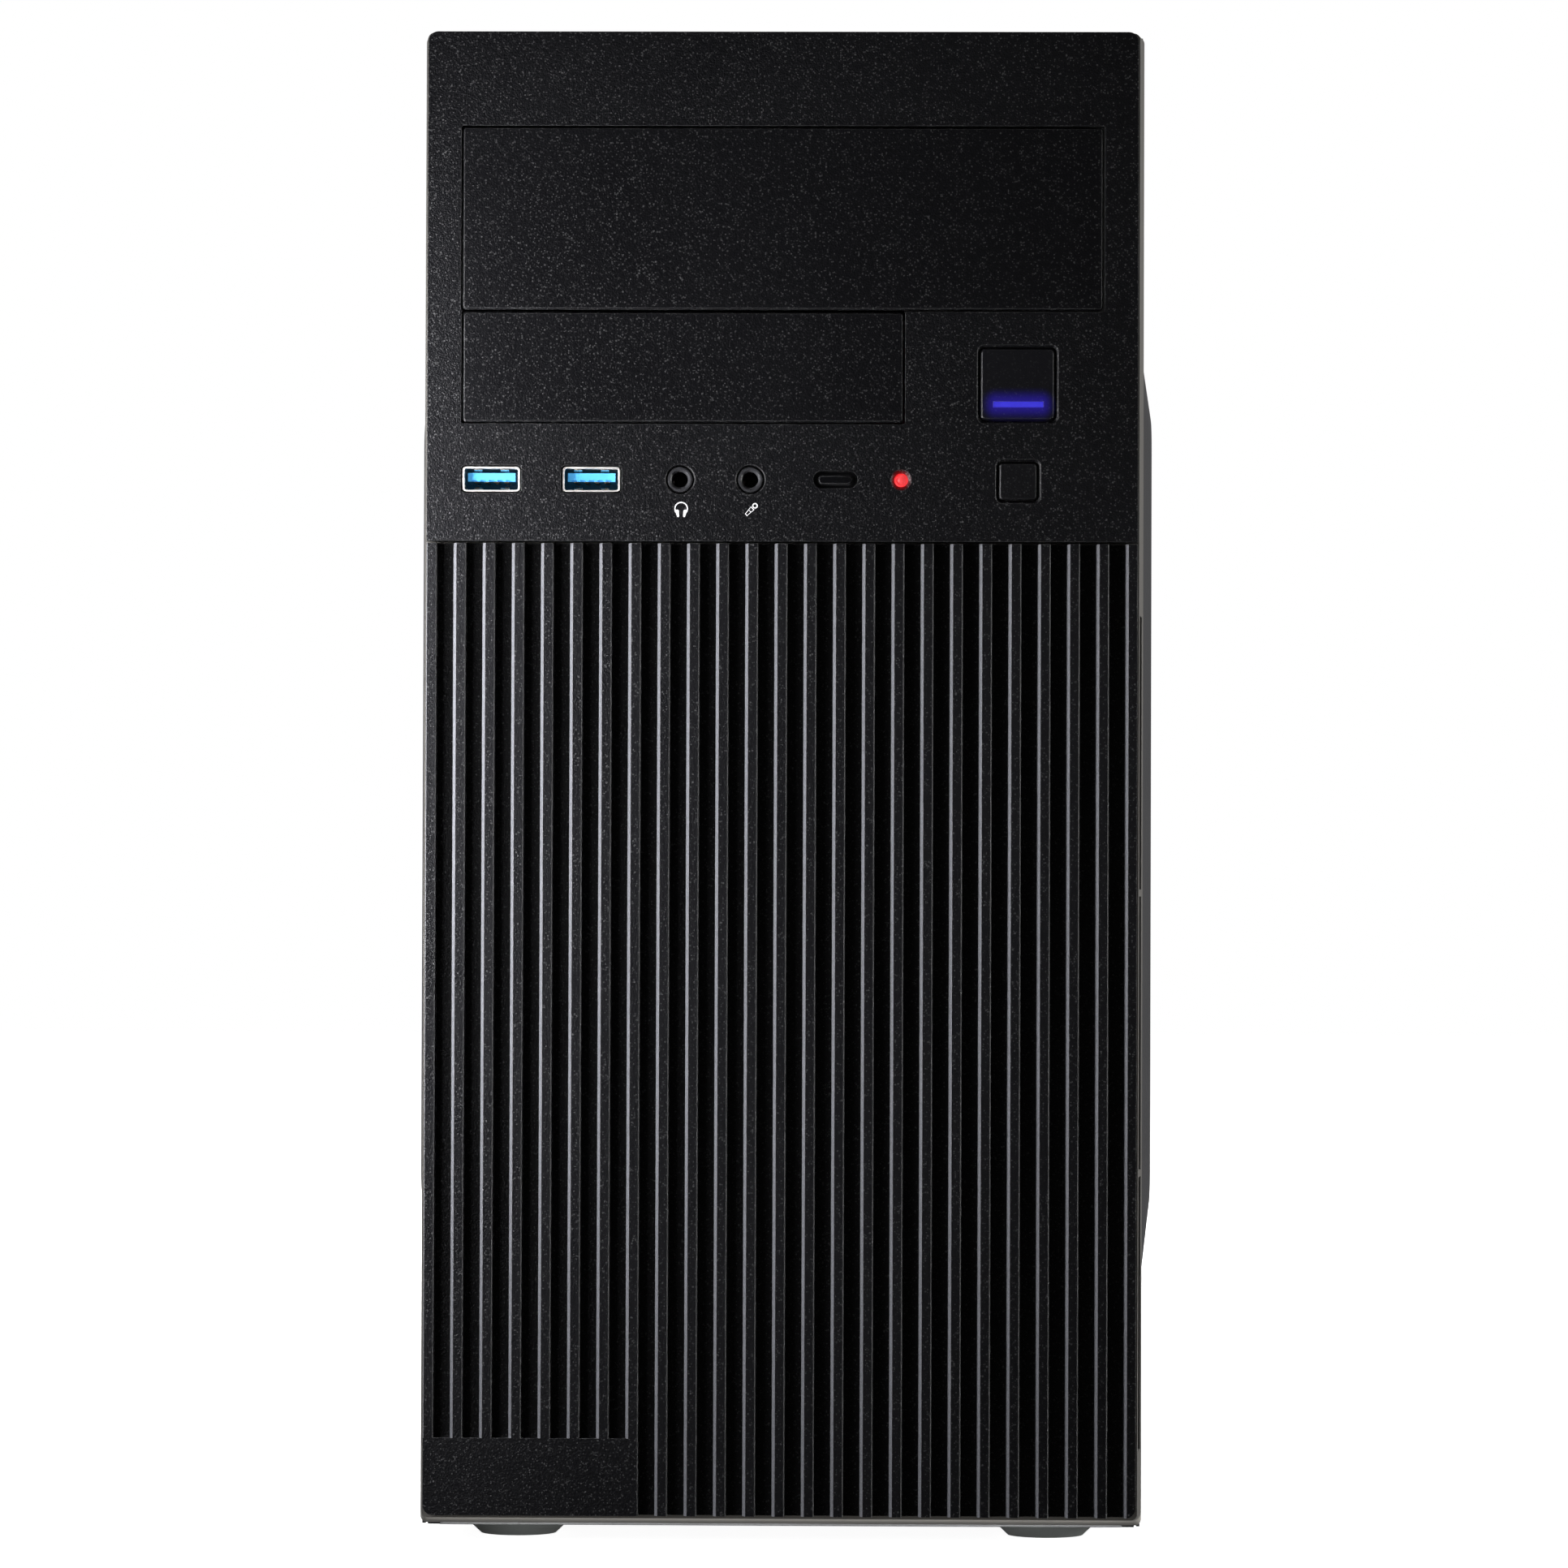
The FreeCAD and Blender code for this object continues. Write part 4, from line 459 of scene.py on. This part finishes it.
def make_finishes():
    """Every material by its short name; a glow is (centre, half size, reach, colour, strength)."""
    lamp_half = (0.1 * MM, GLOW_DEPTH, 0.1 * MM)
    bar_half = (BAR_HALF.x * 0.9, GLOW_DEPTH, BAR_HALF.z * 0.5)
    # The bezel's red glow around the lamp is painted light: the lamp's light emitted by the bezel itself.
    bezel_glow = ((LED_AT.x, FACE_Y, LED_AT.z), lamp_half, 2.7 * MM, RED, 0.9)
    bar_glow = ((BAR_AT.x, BAR_LOW.y, BAR_AT.z), bar_half, 4.2 * MM, VIOLET, 0.34)
    return {
        "bezel": moulded("bezel_moulding", BLACK, glow=bezel_glow, specular=0.32,
                         rim=(SKIRT_FRONT, SKIRT_SHEEN, SKIRT_LOW)),
        "ribs": moulded("rib_moulding", scaled(BLACK, 1.1), grain=0.7, roughness=0.38, edge=0.00012,
                        sparkle=0.9, arris=(LEFT_ARRIS, CHAMFER_HIGHLIGHT)),
        "covers": moulded("cover_moulding", scaled(BLACK, 0.9), grain=0.75, roughness=0.38, edge=0.00018,
                          sparkle=0.8, specular=0.30),
        "power": moulded("power_button_moulding", scaled(BLACK, 1.8), grain=0.3, roughness=0.36,
                         glow=bar_glow, sparkle=0.2),
        "reset": moulded("reset_button_moulding", BLACK, grain=0.5, roughness=0.40, sparkle=0.4),
        "blank": moulded("port_blank_moulding", scaled(BLACK, 0.7), grain=0.2, roughness=0.28, edge=0.00030,
                         sparkle=0.1),
        "jack": glossy_plastic("jack_plastic", (0.046, 0.046, 0.050), 0.24),
        "coat": powder_coat("panel_coat", (0.017, 0.017, 0.019)),
        "psu_coat": powder_coat("supply_coat", (0.050, 0.050, 0.054)),
        "thumb": powder_coat("thumbscrew_coat", (0.030, 0.030, 0.032)),
        "zinc": galvanised("zinc_sheet", (0.33, 0.335, 0.34)),
        "shield": plated("shield_tin", (0.66, 0.67, 0.68), 0.33),
        "nickel": plated("port_nickel", (0.80, 0.70, 0.60), 0.20),
        "screw": plated("screw_zinc", (0.62, 0.62, 0.60), 0.30),
        "brass": plated("standoff_brass", (0.80, 0.56, 0.24), 0.27),
        "gold": plated("contact_gold", (0.62, 0.36, 0.20), 0.30),
        "lid": plated("processor_lid", (0.68, 0.69, 0.70), 0.30),
        "cell": plated("cell_steel", (0.74, 0.74, 0.73), 0.22),
        "can": aluminium("capacitor_can", (0.66, 0.67, 0.69), (0.05, 1.0, 1.0), 0.28),
        "fins": aluminium("heatsink_aluminium", along=(0.05, 1.0, 1.0)),
        "casting": aluminium("drive_casting", (0.50, 0.51, 0.52), (1.0, 0.2, 1.0), 0.40),
        "fan": glossy_plastic("fan_plastic", (0.016, 0.016, 0.018), 0.36),
        "connector": glossy_plastic("connector_plastic", (0.035, 0.035, 0.040), 0.38),
        "slot": glossy_plastic("slot_plastic", (0.022, 0.024, 0.030), 0.36),
        "ivory": glossy_plastic("socket_plastic", (0.72, 0.68, 0.56), 0.42),
        "switch": glossy_plastic("switch_plastic", (0.020, 0.020, 0.022), 0.28),
        "blue": tongue_blue("usb_blue", (0.10, 0.48, 0.92), (0.004, 0.11, 0.30), 0.42),
        "port_shell": plated("port_shell", (0.86, 0.84, 0.80), 0.34, metallic=0.30),
        "board": laminate("board_laminate", (0.006, 0.030, 0.022), (0.02, 0.085, 0.055)),
        "module": laminate("module_laminate", (0.008, 0.055, 0.024), (0.03, 0.13, 0.06)),
        "rubber": rubber("foot_rubber", (0.300, 0.320, 0.310)),
        "sleeve": braided("cable_sleeve", (0.03, 0.03, 0.03)),
        "jacket": cable_jacket("cable_jacket", (0.30, 0.03, 0.02)),
        "bar": lit("light_bar_lens", (0.042, 0.036, 0.56), (0.038, 0.032, 0.52), 0.72),
        "lamp": lit("lamp_lens", (1.0, 0.10, 0.11), (0.62, 0.012, 0.016), 0.9),
        "ink": ink("pictogram_ink"),
        "label": paper_label("foil_label", (0.62, 0.63, 0.64)),
        "chip": glossy_plastic("chip_epoxy", (0.018, 0.018, 0.020), 0.45),
    }


# The finish of every CAD node.
FINISH_OF = {
    "front_bezel": "bezel", "rib_panel": "ribs", "optical_bay_cover": "covers", "drive_bay_cover": "covers",
    "led_lens": "lamp", "usb_c_blank": "blank", "power_button": "power", "power_light_bar": "bar",
    "reset_button": "reset", "front_io_board": "board", "front_io_bracket": "zinc",
    "usb_shells": "port_shell",
    "usb_tongues": "blue", "usb_contacts": "gold", "audio_jacks": "jack", "button_switches": "connector",
    "chassis_base": "coat", "chassis_top": "coat", "chassis_front_panel": "zinc",
    "chassis_rear_panel": "zinc",
    "motherboard_tray": "zinc", "optical_bay_cage": "zinc", "hard_drive_cage": "zinc", "feet": "rubber",
    "side_panel_left": "coat", "side_panel_right": "coat", "thumbscrew_left_lower": "thumb",
    "thumbscrew_left_upper": "thumb", "thumbscrew_right_lower": "thumb", "thumbscrew_right_upper": "thumb",
    "rear_fan_frame": "fan", "rear_fan_rotor": "fan", "psu_case": "psu_coat", "psu_fan_frame": "fan",
    "psu_fan_rotor": "fan", "psu_inlet": "switch", "psu_rocker": "switch", "motherboard": "board",
    "board_standoffs": "brass", "machine_screws": "screw", "cpu_socket": "ivory", "cpu": "lid",
    "cpu_heatsink": "fins", "cpu_fan_frame": "fan", "cpu_fan_rotor": "fan", "memory_slots": "slot",
    "memory_modules": "module", "memory_latch_front": "ivory", "memory_latch_rear": "ivory",
    "expansion_slots": "slot", "chipset_heatsink": "fins", "rear_ports": "shield",
    "board_connectors": "connector",
    "board_battery": "cell", "board_capacitors": "can", "io_shield": "shield", "slot_covers": "zinc",
    "hard_drive": "casting", "power_cables": "sleeve", "signal_cables": "jacket",
}


def dress(node, material):
    """Give a CAD node its one material."""
    mesh = NODES[node].data
    mesh.materials.clear()
    mesh.materials.append(material)


# ------------------------------------------------------------ extra fine pieces

def piece(name, bm, material, body):
    """Turn a bmesh into an object that rides on a body."""
    bmesh.ops.recalc_face_normals(bm, faces=bm.faces)
    mesh = bpy.data.meshes.new(name)
    bm.to_mesh(mesh)
    bm.free()
    mesh.materials.append(material)
    obj = bpy.data.objects.new(name, mesh)
    bpy.context.scene.collection.objects.link(obj)
    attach(obj, body)
    return obj


def prism(bm, points, depth):
    """Solid between a closed outline in the XZ plane and its copy depth further back."""
    front = [bm.verts.new(p) for p in points]
    back = [bm.verts.new(Vector(p) + Vector((0, depth, 0))) for p in points]
    bm.faces.new(front)
    bm.faces.new(list(reversed(back)))
    n = len(points)
    for i in range(n):
        bm.faces.new((front[i], back[i], back[(i + 1) % n], front[(i + 1) % n]))


def ring_prism(bm, centre, r_in, r_out, start, end, depth, steps=28):
    """Solid arc band in the XZ plane."""
    outer, inner = [], []
    for i in range(steps + 1):
        a = math.radians(start + (end - start) * i / steps)
        direction = Vector((math.cos(a), 0, math.sin(a)))
        outer.append(centre + direction * r_out)
        inner.append(centre + direction * r_in)
    prism(bm, outer + list(reversed(inner)), depth)


def capsule(centre, to, r0, r1, steps=10):
    """Outline of a tapered bar with round ends from centre to to."""
    along = (to - centre).normalized()
    side = Vector((-along.z, 0, along.x))
    points = []
    for i in range(steps + 1):
        a = math.pi * i / steps
        points.append(to + side * (r1 * math.cos(a)) + along * (r1 * math.sin(a)))
    for i in range(steps + 1):
        a = math.pi * i / steps
        points.append(centre - side * (r0 * math.cos(a)) - along * (r0 * math.sin(a)))
    return points


INK_T = 0.03 * MM
SIGN_DROP = 4.4 * MM         # from the lamp's lower edge to the middle of the signs
SIGN_X = (-23.40 * MM, -7.20 * MM)


def pictograms(material):
    """Printed headphone and microphone signs under the two audio sockets."""
    left, right = (Vector((x, FACE_Y - INK_T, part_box("led_lens")[0].z - SIGN_DROP)) for x in SIGN_X)
    bm = bmesh.new()
    ring_prism(bm, left + Vector((0, 0, 0.22 * MM)), 1.30 * MM, 1.60 * MM, -14, 194, INK_T)
    for side in (-1, 1):
        top = left + Vector((side * 0.93 * MM, 0, -0.42 * MM))
        bottom = left + Vector((side * 0.70 * MM, 0, -1.50 * MM))
        prism(bm, capsule(top, bottom, 0.42 * MM, 0.25 * MM), INK_T)
        shoulder = left + Vector((side * 1.45 * MM, 0, 0.20 * MM))
        joint = left + Vector((side * 1.30 * MM, 0, -0.52 * MM))
        prism(bm, capsule(shoulder, joint, 0.16 * MM, 0.16 * MM), INK_T)
    piece("headphone_sign", bm, material, "front_bezel")
    bm = bmesh.new()
    head = right + Vector((0.95 * MM, 0, 0.92 * MM))
    ring_prism(bm, head, 0.36 * MM, 0.66 * MM, 0, 359.9, INK_T)
    neck = right + Vector((0.42 * MM, 0, 0.40 * MM))
    tail = right + Vector((-1.12 * MM, 0, -1.18 * MM))
    along = (tail - neck).normalized()
    side = Vector((-along.z, 0, along.x))
    wide, slim, wall = 0.56 * MM, 0.36 * MM, 0.15 * MM
    for sign in (-1, 1):
        a = neck + side * (sign * wide)
        b = tail + side * (sign * slim)
        prism(bm, [a, b, b - side * (sign * wall), a - side * (sign * wall)], INK_T)
    for start, end in ((0.0, 0.10), (0.40, 0.48), (0.93, 1.03)):
        p, q = neck.lerp(tail, start), neck.lerp(tail, end)
        w0 = wide + (slim - wide) * start
        w1 = wide + (slim - wide) * end
        prism(bm, [p + side * w0, q + side * w1, q - side * w1, p - side * w0], INK_T)
    piece("microphone_sign", bm, material, "front_bezel")


def leaf(bm, path, width, thick, across):
    """Thin bent strip along path; across is its width direction, its thickness is square to both."""
    rows = []
    for i, p in enumerate(path):
        ahead = path[min(i + 1, len(path) - 1)] - path[max(i - 1, 0)]
        normal = ahead.normalized().cross(across).normalized()
        corner = [across * (s * width / 2) + normal * (t * thick / 2)
                  for s, t in ((-1, -1), (1, -1), (1, 1), (-1, 1))]
        rows.append([bm.verts.new(p + c) for c in corner])
    for a, b in zip(rows, rows[1:]):
        for k in range(4):
            bm.faces.new((a[k], b[k], b[(k + 1) % 4], a[(k + 1) % 4]))
    bm.faces.new(rows[0])
    bm.faces.new(list(reversed(rows[-1])))


def usb_springs(material):
    """Grounding leaves inside both front sockets."""
    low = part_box("usb_shells")[0]
    half = 2.50 * MM
    bends = ((7.5, 0.12), (5.0, 0.32), (3.2, 0.62), (2.2, 0.68), (1.2, 0.40), (0.8, 0.22))
    bm = bmesh.new()
    for x in USB_X:
        for dx in (-3.1 * MM, 3.1 * MM):
            for up in (-1, 1):
                path = [Vector((x + dx, low.y + depth * MM, LED_AT.z + up * (half - lift * MM)))
                        for depth, lift in bends]
                leaf(bm, path, 1.9 * MM, 0.16 * MM, Vector((1, 0, 0)))
    piece("usb_springs", bm, material, "chassis")


def jack_leaves(material):
    """Sprung contact that shows inside each audio socket."""
    bm = bmesh.new()
    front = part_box("audio_jacks")[0].y
    steps = 6
    for x in JACK_X:
        path = []
        for i in range(steps + 1):
            t = i / steps
            path.append(Vector((x - 1.55 * MM + 0.75 * MM * math.sin(math.pi * t),
                                front + (2.2 + 5.5 * t) * MM, LED_AT.z - 0.55 * MM)))
        leaf(bm, path, 0.95 * MM, 0.18 * MM, Vector((0, 0, 1)))
    piece("jack_leaves", bm, material, "chassis")


def dome(bm, centre, normal, radius, height, steps=14, rows=4):
    """Low round head on a surface."""
    normal = normal.normalized()
    u = normal.orthogonal().normalized()
    v = normal.cross(u)
    levels = []
    for r in range(rows):
        a = (math.pi / 2) * r / rows
        ring = []
        for i in range(steps):
            b = math.tau * i / steps
            ring.append(bm.verts.new(centre + (u * math.cos(b) + v * math.sin(b)) * (radius * math.cos(a))
                                     + normal * (height * math.sin(a))))
        levels.append(ring)
    for a, b in zip(levels, levels[1:]):
        for i in range(steps):
            bm.faces.new((a[i], a[(i + 1) % steps], b[(i + 1) % steps], b[i]))
    top = bm.verts.new(centre + normal * height)
    for i in range(steps):
        bm.faces.new((levels[-1][i], levels[-1][(i + 1) % steps], top))
    bm.faces.new(list(reversed(levels[0])))


RIVET_RADIUS = 1.9 * MM
RIVET_HEIGHT = 0.7 * MM


def rivets(material):
    """Pop rivets that hold the frame sheets and the cages."""
    bm = bmesh.new()

    def rivet(x, y, z, normal):
        dome(bm, Vector((x, y, z)), Vector(normal), RIVET_RADIUS, RIVET_HEIGHT)

    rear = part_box("chassis_rear_panel")[1].y
    for x in (-77.6 * MM, 77.6 * MM):
        for z in (18, 70, 140, 205, 262, 296, 346):
            rivet(x, rear, z * MM, (0, 1, 0))
    for x in (-60, -20, 20, 60):
        for z in (8.5, 351.0):
            rivet(x * MM, rear, z * MM, (0, 1, 0))
    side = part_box("optical_bay_cage")[0].x
    for y in (-150, -95, -20):
        for z in (292, 345):
            rivet(side, y * MM, z * MM, (-1, 0, 0))
    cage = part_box("hard_drive_cage")[0]
    for y in (-140, -60):
        rivet(cage.x, y * MM, cage.z + 6 * MM, (-1, 0, 0))
    obj = piece("rivets", bm, material, "chassis")
    for poly in obj.data.polygons:
        poly.use_smooth = True


def disc_label(name, centre, axis, radius, body, material):
    """Round foil label with a raised rim, stuck on a fan hub."""
    bm = bmesh.new()
    axis = axis.normalized()
    u = axis.orthogonal().normalized()
    v = axis.cross(u)
    profile = [(0.80, 0.10), (0.90, 0.16), (1.0, 0.14), (1.0, 0.0)]
    steps = 40
    turns = [math.tau * i / steps for i in range(steps)]
    rings = []
    for r, h in profile:
        rings.append([bm.verts.new(centre + (u * math.cos(a) + v * math.sin(a)) * (radius * r)
                                   + axis * (h * MM)) for a in turns])
    hub = bm.verts.new(centre + axis * (profile[0][1] * MM))
    for i in range(steps):
        bm.faces.new((hub, rings[0][i], rings[0][(i + 1) % steps]))
    for a, b in zip(rings, rings[1:]):
        for i in range(steps):
            bm.faces.new((a[i], b[i], b[(i + 1) % steps], a[(i + 1) % steps]))
    bm.faces.new(list(reversed(rings[-1])))
    piece(name, bm, material, body)


def block(bm, low, high, bevel):
    """Small block standing out towards -X, with its outer edges bevelled."""
    x0, y0, z0 = low
    x1, y1, z1 = high

    def loop(x, inset):
        return [bm.verts.new((x, y, z)) for y, z in ((y0 + inset, z0 + inset), (y1 - inset, z0 + inset),
                                                    (y1 - inset, z1 - inset), (y0 + inset, z1 - inset))]

    base, step, top = loop(x1, 0.0), loop(x0 + bevel, 0.0), loop(x0, bevel)
    bm.faces.new(base)
    bm.faces.new(list(reversed(top)))
    for a, c in ((base, step), (step, top)):
        for i in range(4):
            bm.faces.new((a[i], a[(i + 1) % 4], c[(i + 1) % 4], c[i]))


def board_parts(chips, metal):
    """Chips and small surface-mounted parts scattered over the free areas of the main board."""
    low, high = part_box("motherboard")
    face = low.x
    taken = []
    for node in ("cpu_socket", "memory_slots", "expansion_slots", "chipset_heatsink", "cpu_fan_frame"):
        a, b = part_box(node)
        taken.append((a.y - 2 * MM, b.y + 2 * MM, a.z - 2 * MM, b.z + 2 * MM))
    taken.append((high.y - 22 * MM, high.y, 120 * MM, high.z))
    taken.append((low.y, low.y + 22 * MM, 36 * MM, 84 * MM))
    taken.append((low.y + 6 * MM, low.y + 22 * MM, 160 * MM, 222 * MM))
    taken.append((26 * MM, 56 * MM, 110 * MM, 142 * MM))
    taken.append((30 * MM, 62 * MM, low.z, 36 * MM))
    rng = random.Random(751)
    small, packs = bmesh.new(), bmesh.new()
    for count, sizes, target in ((13, (5, 9), packs), (210, (0.9, 2.2), small)):
        made = 0
        tries = 0
        while made < count and tries < 6000:
            tries += 1
            w, h = rng.uniform(*sizes) * MM, rng.uniform(*sizes) * MM
            y = rng.uniform(low.y + 5 * MM, high.y - 12 * MM)
            z = rng.uniform(low.z + 5 * MM, high.z - 5 * MM)
            spot = (y - w, y + w, z - h, z + h)
            if any(spot[0] < t[1] and spot[1] > t[0] and spot[2] < t[3] and spot[3] > t[2] for t in taken):
                continue
            tall = (1.1 if target is packs else rng.uniform(0.4, 0.9)) * MM
            block(target, (face - tall, y - w / 2, z - h / 2), (face, y + w / 2, z + h / 2), 0.12 * MM)
            taken.append(spot)
            made += 1
    piece("board_chips", packs, chips, "chassis")
    piece("board_small_parts", small, metal, "chassis")


# ------------------------------------------------------------- stage and camera

CAMERA_DISTANCE = 1.500      # from the front face
CAMERA_SIDE = 0.0252         # to the right of the face's middle
CAMERA_DROP = -0.0312        # below the face's middle
CAMERA_TURN = (-1.092, 0.936, 0.176)   # degrees of pitch, yaw and roll
FRAME_PIXELS = 1932
FOCAL_PIXELS = 7976.2
SENSOR_MM = 36.0


def add_camera():
    """The photograph's viewpoint, almost square on to the front."""
    rx, ry, rz = (math.radians(a) for a in CAMERA_TURN)
    base = Matrix(((1, 0, 0), (0, 0, -1), (0, 1, 0)))
    axes = Matrix.Rotation(rz, 3, "Z") @ Matrix.Rotation(ry, 3, "Y") @ Matrix.Rotation(rx, 3, "X") @ base
    right, down, ahead = (Vector(axes[i]) for i in range(3))
    place = Matrix((right, -down, -ahead)).transposed().to_4x4()
    place.translation = Vector((CAMERA_SIDE, FACE_Y - CAMERA_DISTANCE, FACE_MID + CAMERA_DROP))
    data = bpy.data.cameras.new("camera")
    data.sensor_width = SENSOR_MM
    data.lens = FOCAL_PIXELS / FRAME_PIXELS * SENSOR_MM
    camera = bpy.data.objects.new("camera", data)
    camera.matrix_world = place
    bpy.context.scene.collection.objects.link(camera)
    bpy.context.scene.camera = camera


def area_light(name, place, target, size, power, tint=(1.0, 1.0, 1.0)):
    """Rectangular soft light from place towards target; sizes in metres, power in watts."""
    data = bpy.data.lights.new(name, "AREA")
    data.shape = "RECTANGLE"
    data.size, data.size_y = size
    data.energy = power
    data.color = tint
    light = bpy.data.objects.new(name, data)
    look = Vector(target) - Vector(place)
    light.matrix_world = Matrix.Translation(place) @ look.to_track_quat("-Z", "Y").to_matrix().to_4x4()
    light.visible_camera = False
    bpy.context.scene.collection.objects.link(light)


WORLD_FRONT = 0.02           # strength of the surroundings in front of the tower
WORLD_REAR = 0.14            # and behind it


def add_world():
    """White backdrop to the eye; as light it is brighter behind the tower and almost dark in front of it."""
    world = bpy.data.worlds.new("studio")
    bpy.context.scene.world = world
    world.use_nodes = True
    nodes, links = world.node_tree.nodes, world.node_tree.links
    back = nodes["Background"]
    split = nodes.new("ShaderNodeSeparateXYZ")
    links.new(nodes.new("ShaderNodeTexCoord").outputs["Generated"], split.inputs[0])
    ramp = nodes.new("ShaderNodeMapRange")
    for key, value in (("From Min", 0.0), ("From Max", 0.6), ("To Min", WORLD_FRONT), ("To Max", WORLD_REAR)):
        ramp.inputs[key].default_value = value
    links.new(split.outputs["Y"], ramp.inputs["Value"])
    back.inputs["Color"].default_value = (1.0, 0.985, 0.96, 1.0)
    links.new(ramp.outputs[0], back.inputs["Strength"])
    seen = nodes.new("ShaderNodeBackground")
    seen.inputs["Strength"].default_value = 1.0
    seen.inputs["Color"].default_value = (1.0, 1.0, 1.0, 1.0)
    mixer = nodes.new("ShaderNodeMixShader")
    links.new(nodes.new("ShaderNodeLightPath").outputs["Is Camera Ray"], mixer.inputs[0])
    links.new(back.outputs[0], mixer.inputs[1])
    links.new(seen.outputs[0], mixer.inputs[2])
    links.new(mixer.outputs[0], nodes["World Output"].inputs["Surface"])


def add_floor():
    """Plain pale floor under the feet; it takes shadows and throws no light back at the tower."""
    bm = bmesh.new()
    bmesh.ops.create_grid(bm, x_segments=24, y_segments=24, size=6.0)
    mesh = bpy.data.meshes.new("floor")
    bm.to_mesh(mesh)
    bm.free()
    s = Surface("floor_paint")
    cloud = s.noise(3.0, 3.0, 0.5)
    s.bump(s.noise(220.0, 3.0, 0.6), 0.0002, 0.3)
    tone = s.mix(cloud, (0.80, 0.80, 0.80), (0.84, 0.84, 0.84))
    mesh.materials.append(s.finish(tone, 0.8, specular=0.2, Emission_Color=(1.0, 1.0, 1.0, 1.0),
                                   Emission_Strength=0.95))
    floor = bpy.data.objects.new("floor", mesh)
    bpy.context.scene.collection.objects.link(floor)
    floor.visible_diffuse = False
    floor.visible_glossy = False


def add_lights():
    """Soft boxes beside the front, a low light under the skirt, and large soft lights above, behind and
    to the left of the case."""
    area_light("softbox_left", (-0.31, FACE_Y - 0.33, 0.175), (-0.02, FACE_Y, 0.175), (0.18, 0.24), 0.34,
               (0.96, 0.96, 1.0))
    area_light("strip_left", (-0.172, FACE_Y - 0.062, 0.200), (-0.07, FACE_Y, 0.200), (0.04, 0.21), 0.92,
               (0.97, 0.97, 1.0))
    area_light("strip_right", (0.60, FACE_Y - 0.02, 0.20), (0.05, FACE_Y, 0.19), (0.12, 0.60), 5.5)
    area_light("floor_bounce", (0.0, FACE_Y + 0.004, 0.0015), (0.0, FACE_Y + 0.040, 0.006), (0.17, 0.003),
               0.010)
    area_light("overhead", (0.0, 0.65, 2.1), (0.0, 0.1, 0.0), (2.6, 1.6), 34.0)
    area_light("behind", (0.2, 1.1, 1.7), (0.0, 0.1, 0.15), (1.2, 0.9), 30.0)
    area_light("fill_left", (-1.7, 0.55, 1.0), (0.0, 0.05, 0.18), (1.4, 1.1), 20.0)


# ------------------------------------------------------------------- build it

add_camera()
FINISHES = make_finishes()
for node_name, finish_name in FINISH_OF.items():
    dress(node_name, FINISHES[finish_name])
pictograms(FINISHES["ink"])
usb_springs(FINISHES["nickel"])
jack_leaves(FINISHES["nickel"])
rivets(FINISHES["screw"])
rotor_low, rotor_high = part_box("rear_fan_rotor")
hub_face = Vector(((rotor_low.x + rotor_high.x) / 2 + 0.08 * MM, rotor_low.y, 215 * MM))
disc_label("rear_fan_label", hub_face, Vector((0, -1, 0)), 14 * MM, "rear_fan", FINISHES["label"])
board_parts(FINISHES["chip"], FINISHES["ivory"])
add_floor()
add_world()
add_lights()
bpy.context.scene.view_settings.view_transform = "Standard"
bpy.context.scene.view_settings.look = "None"
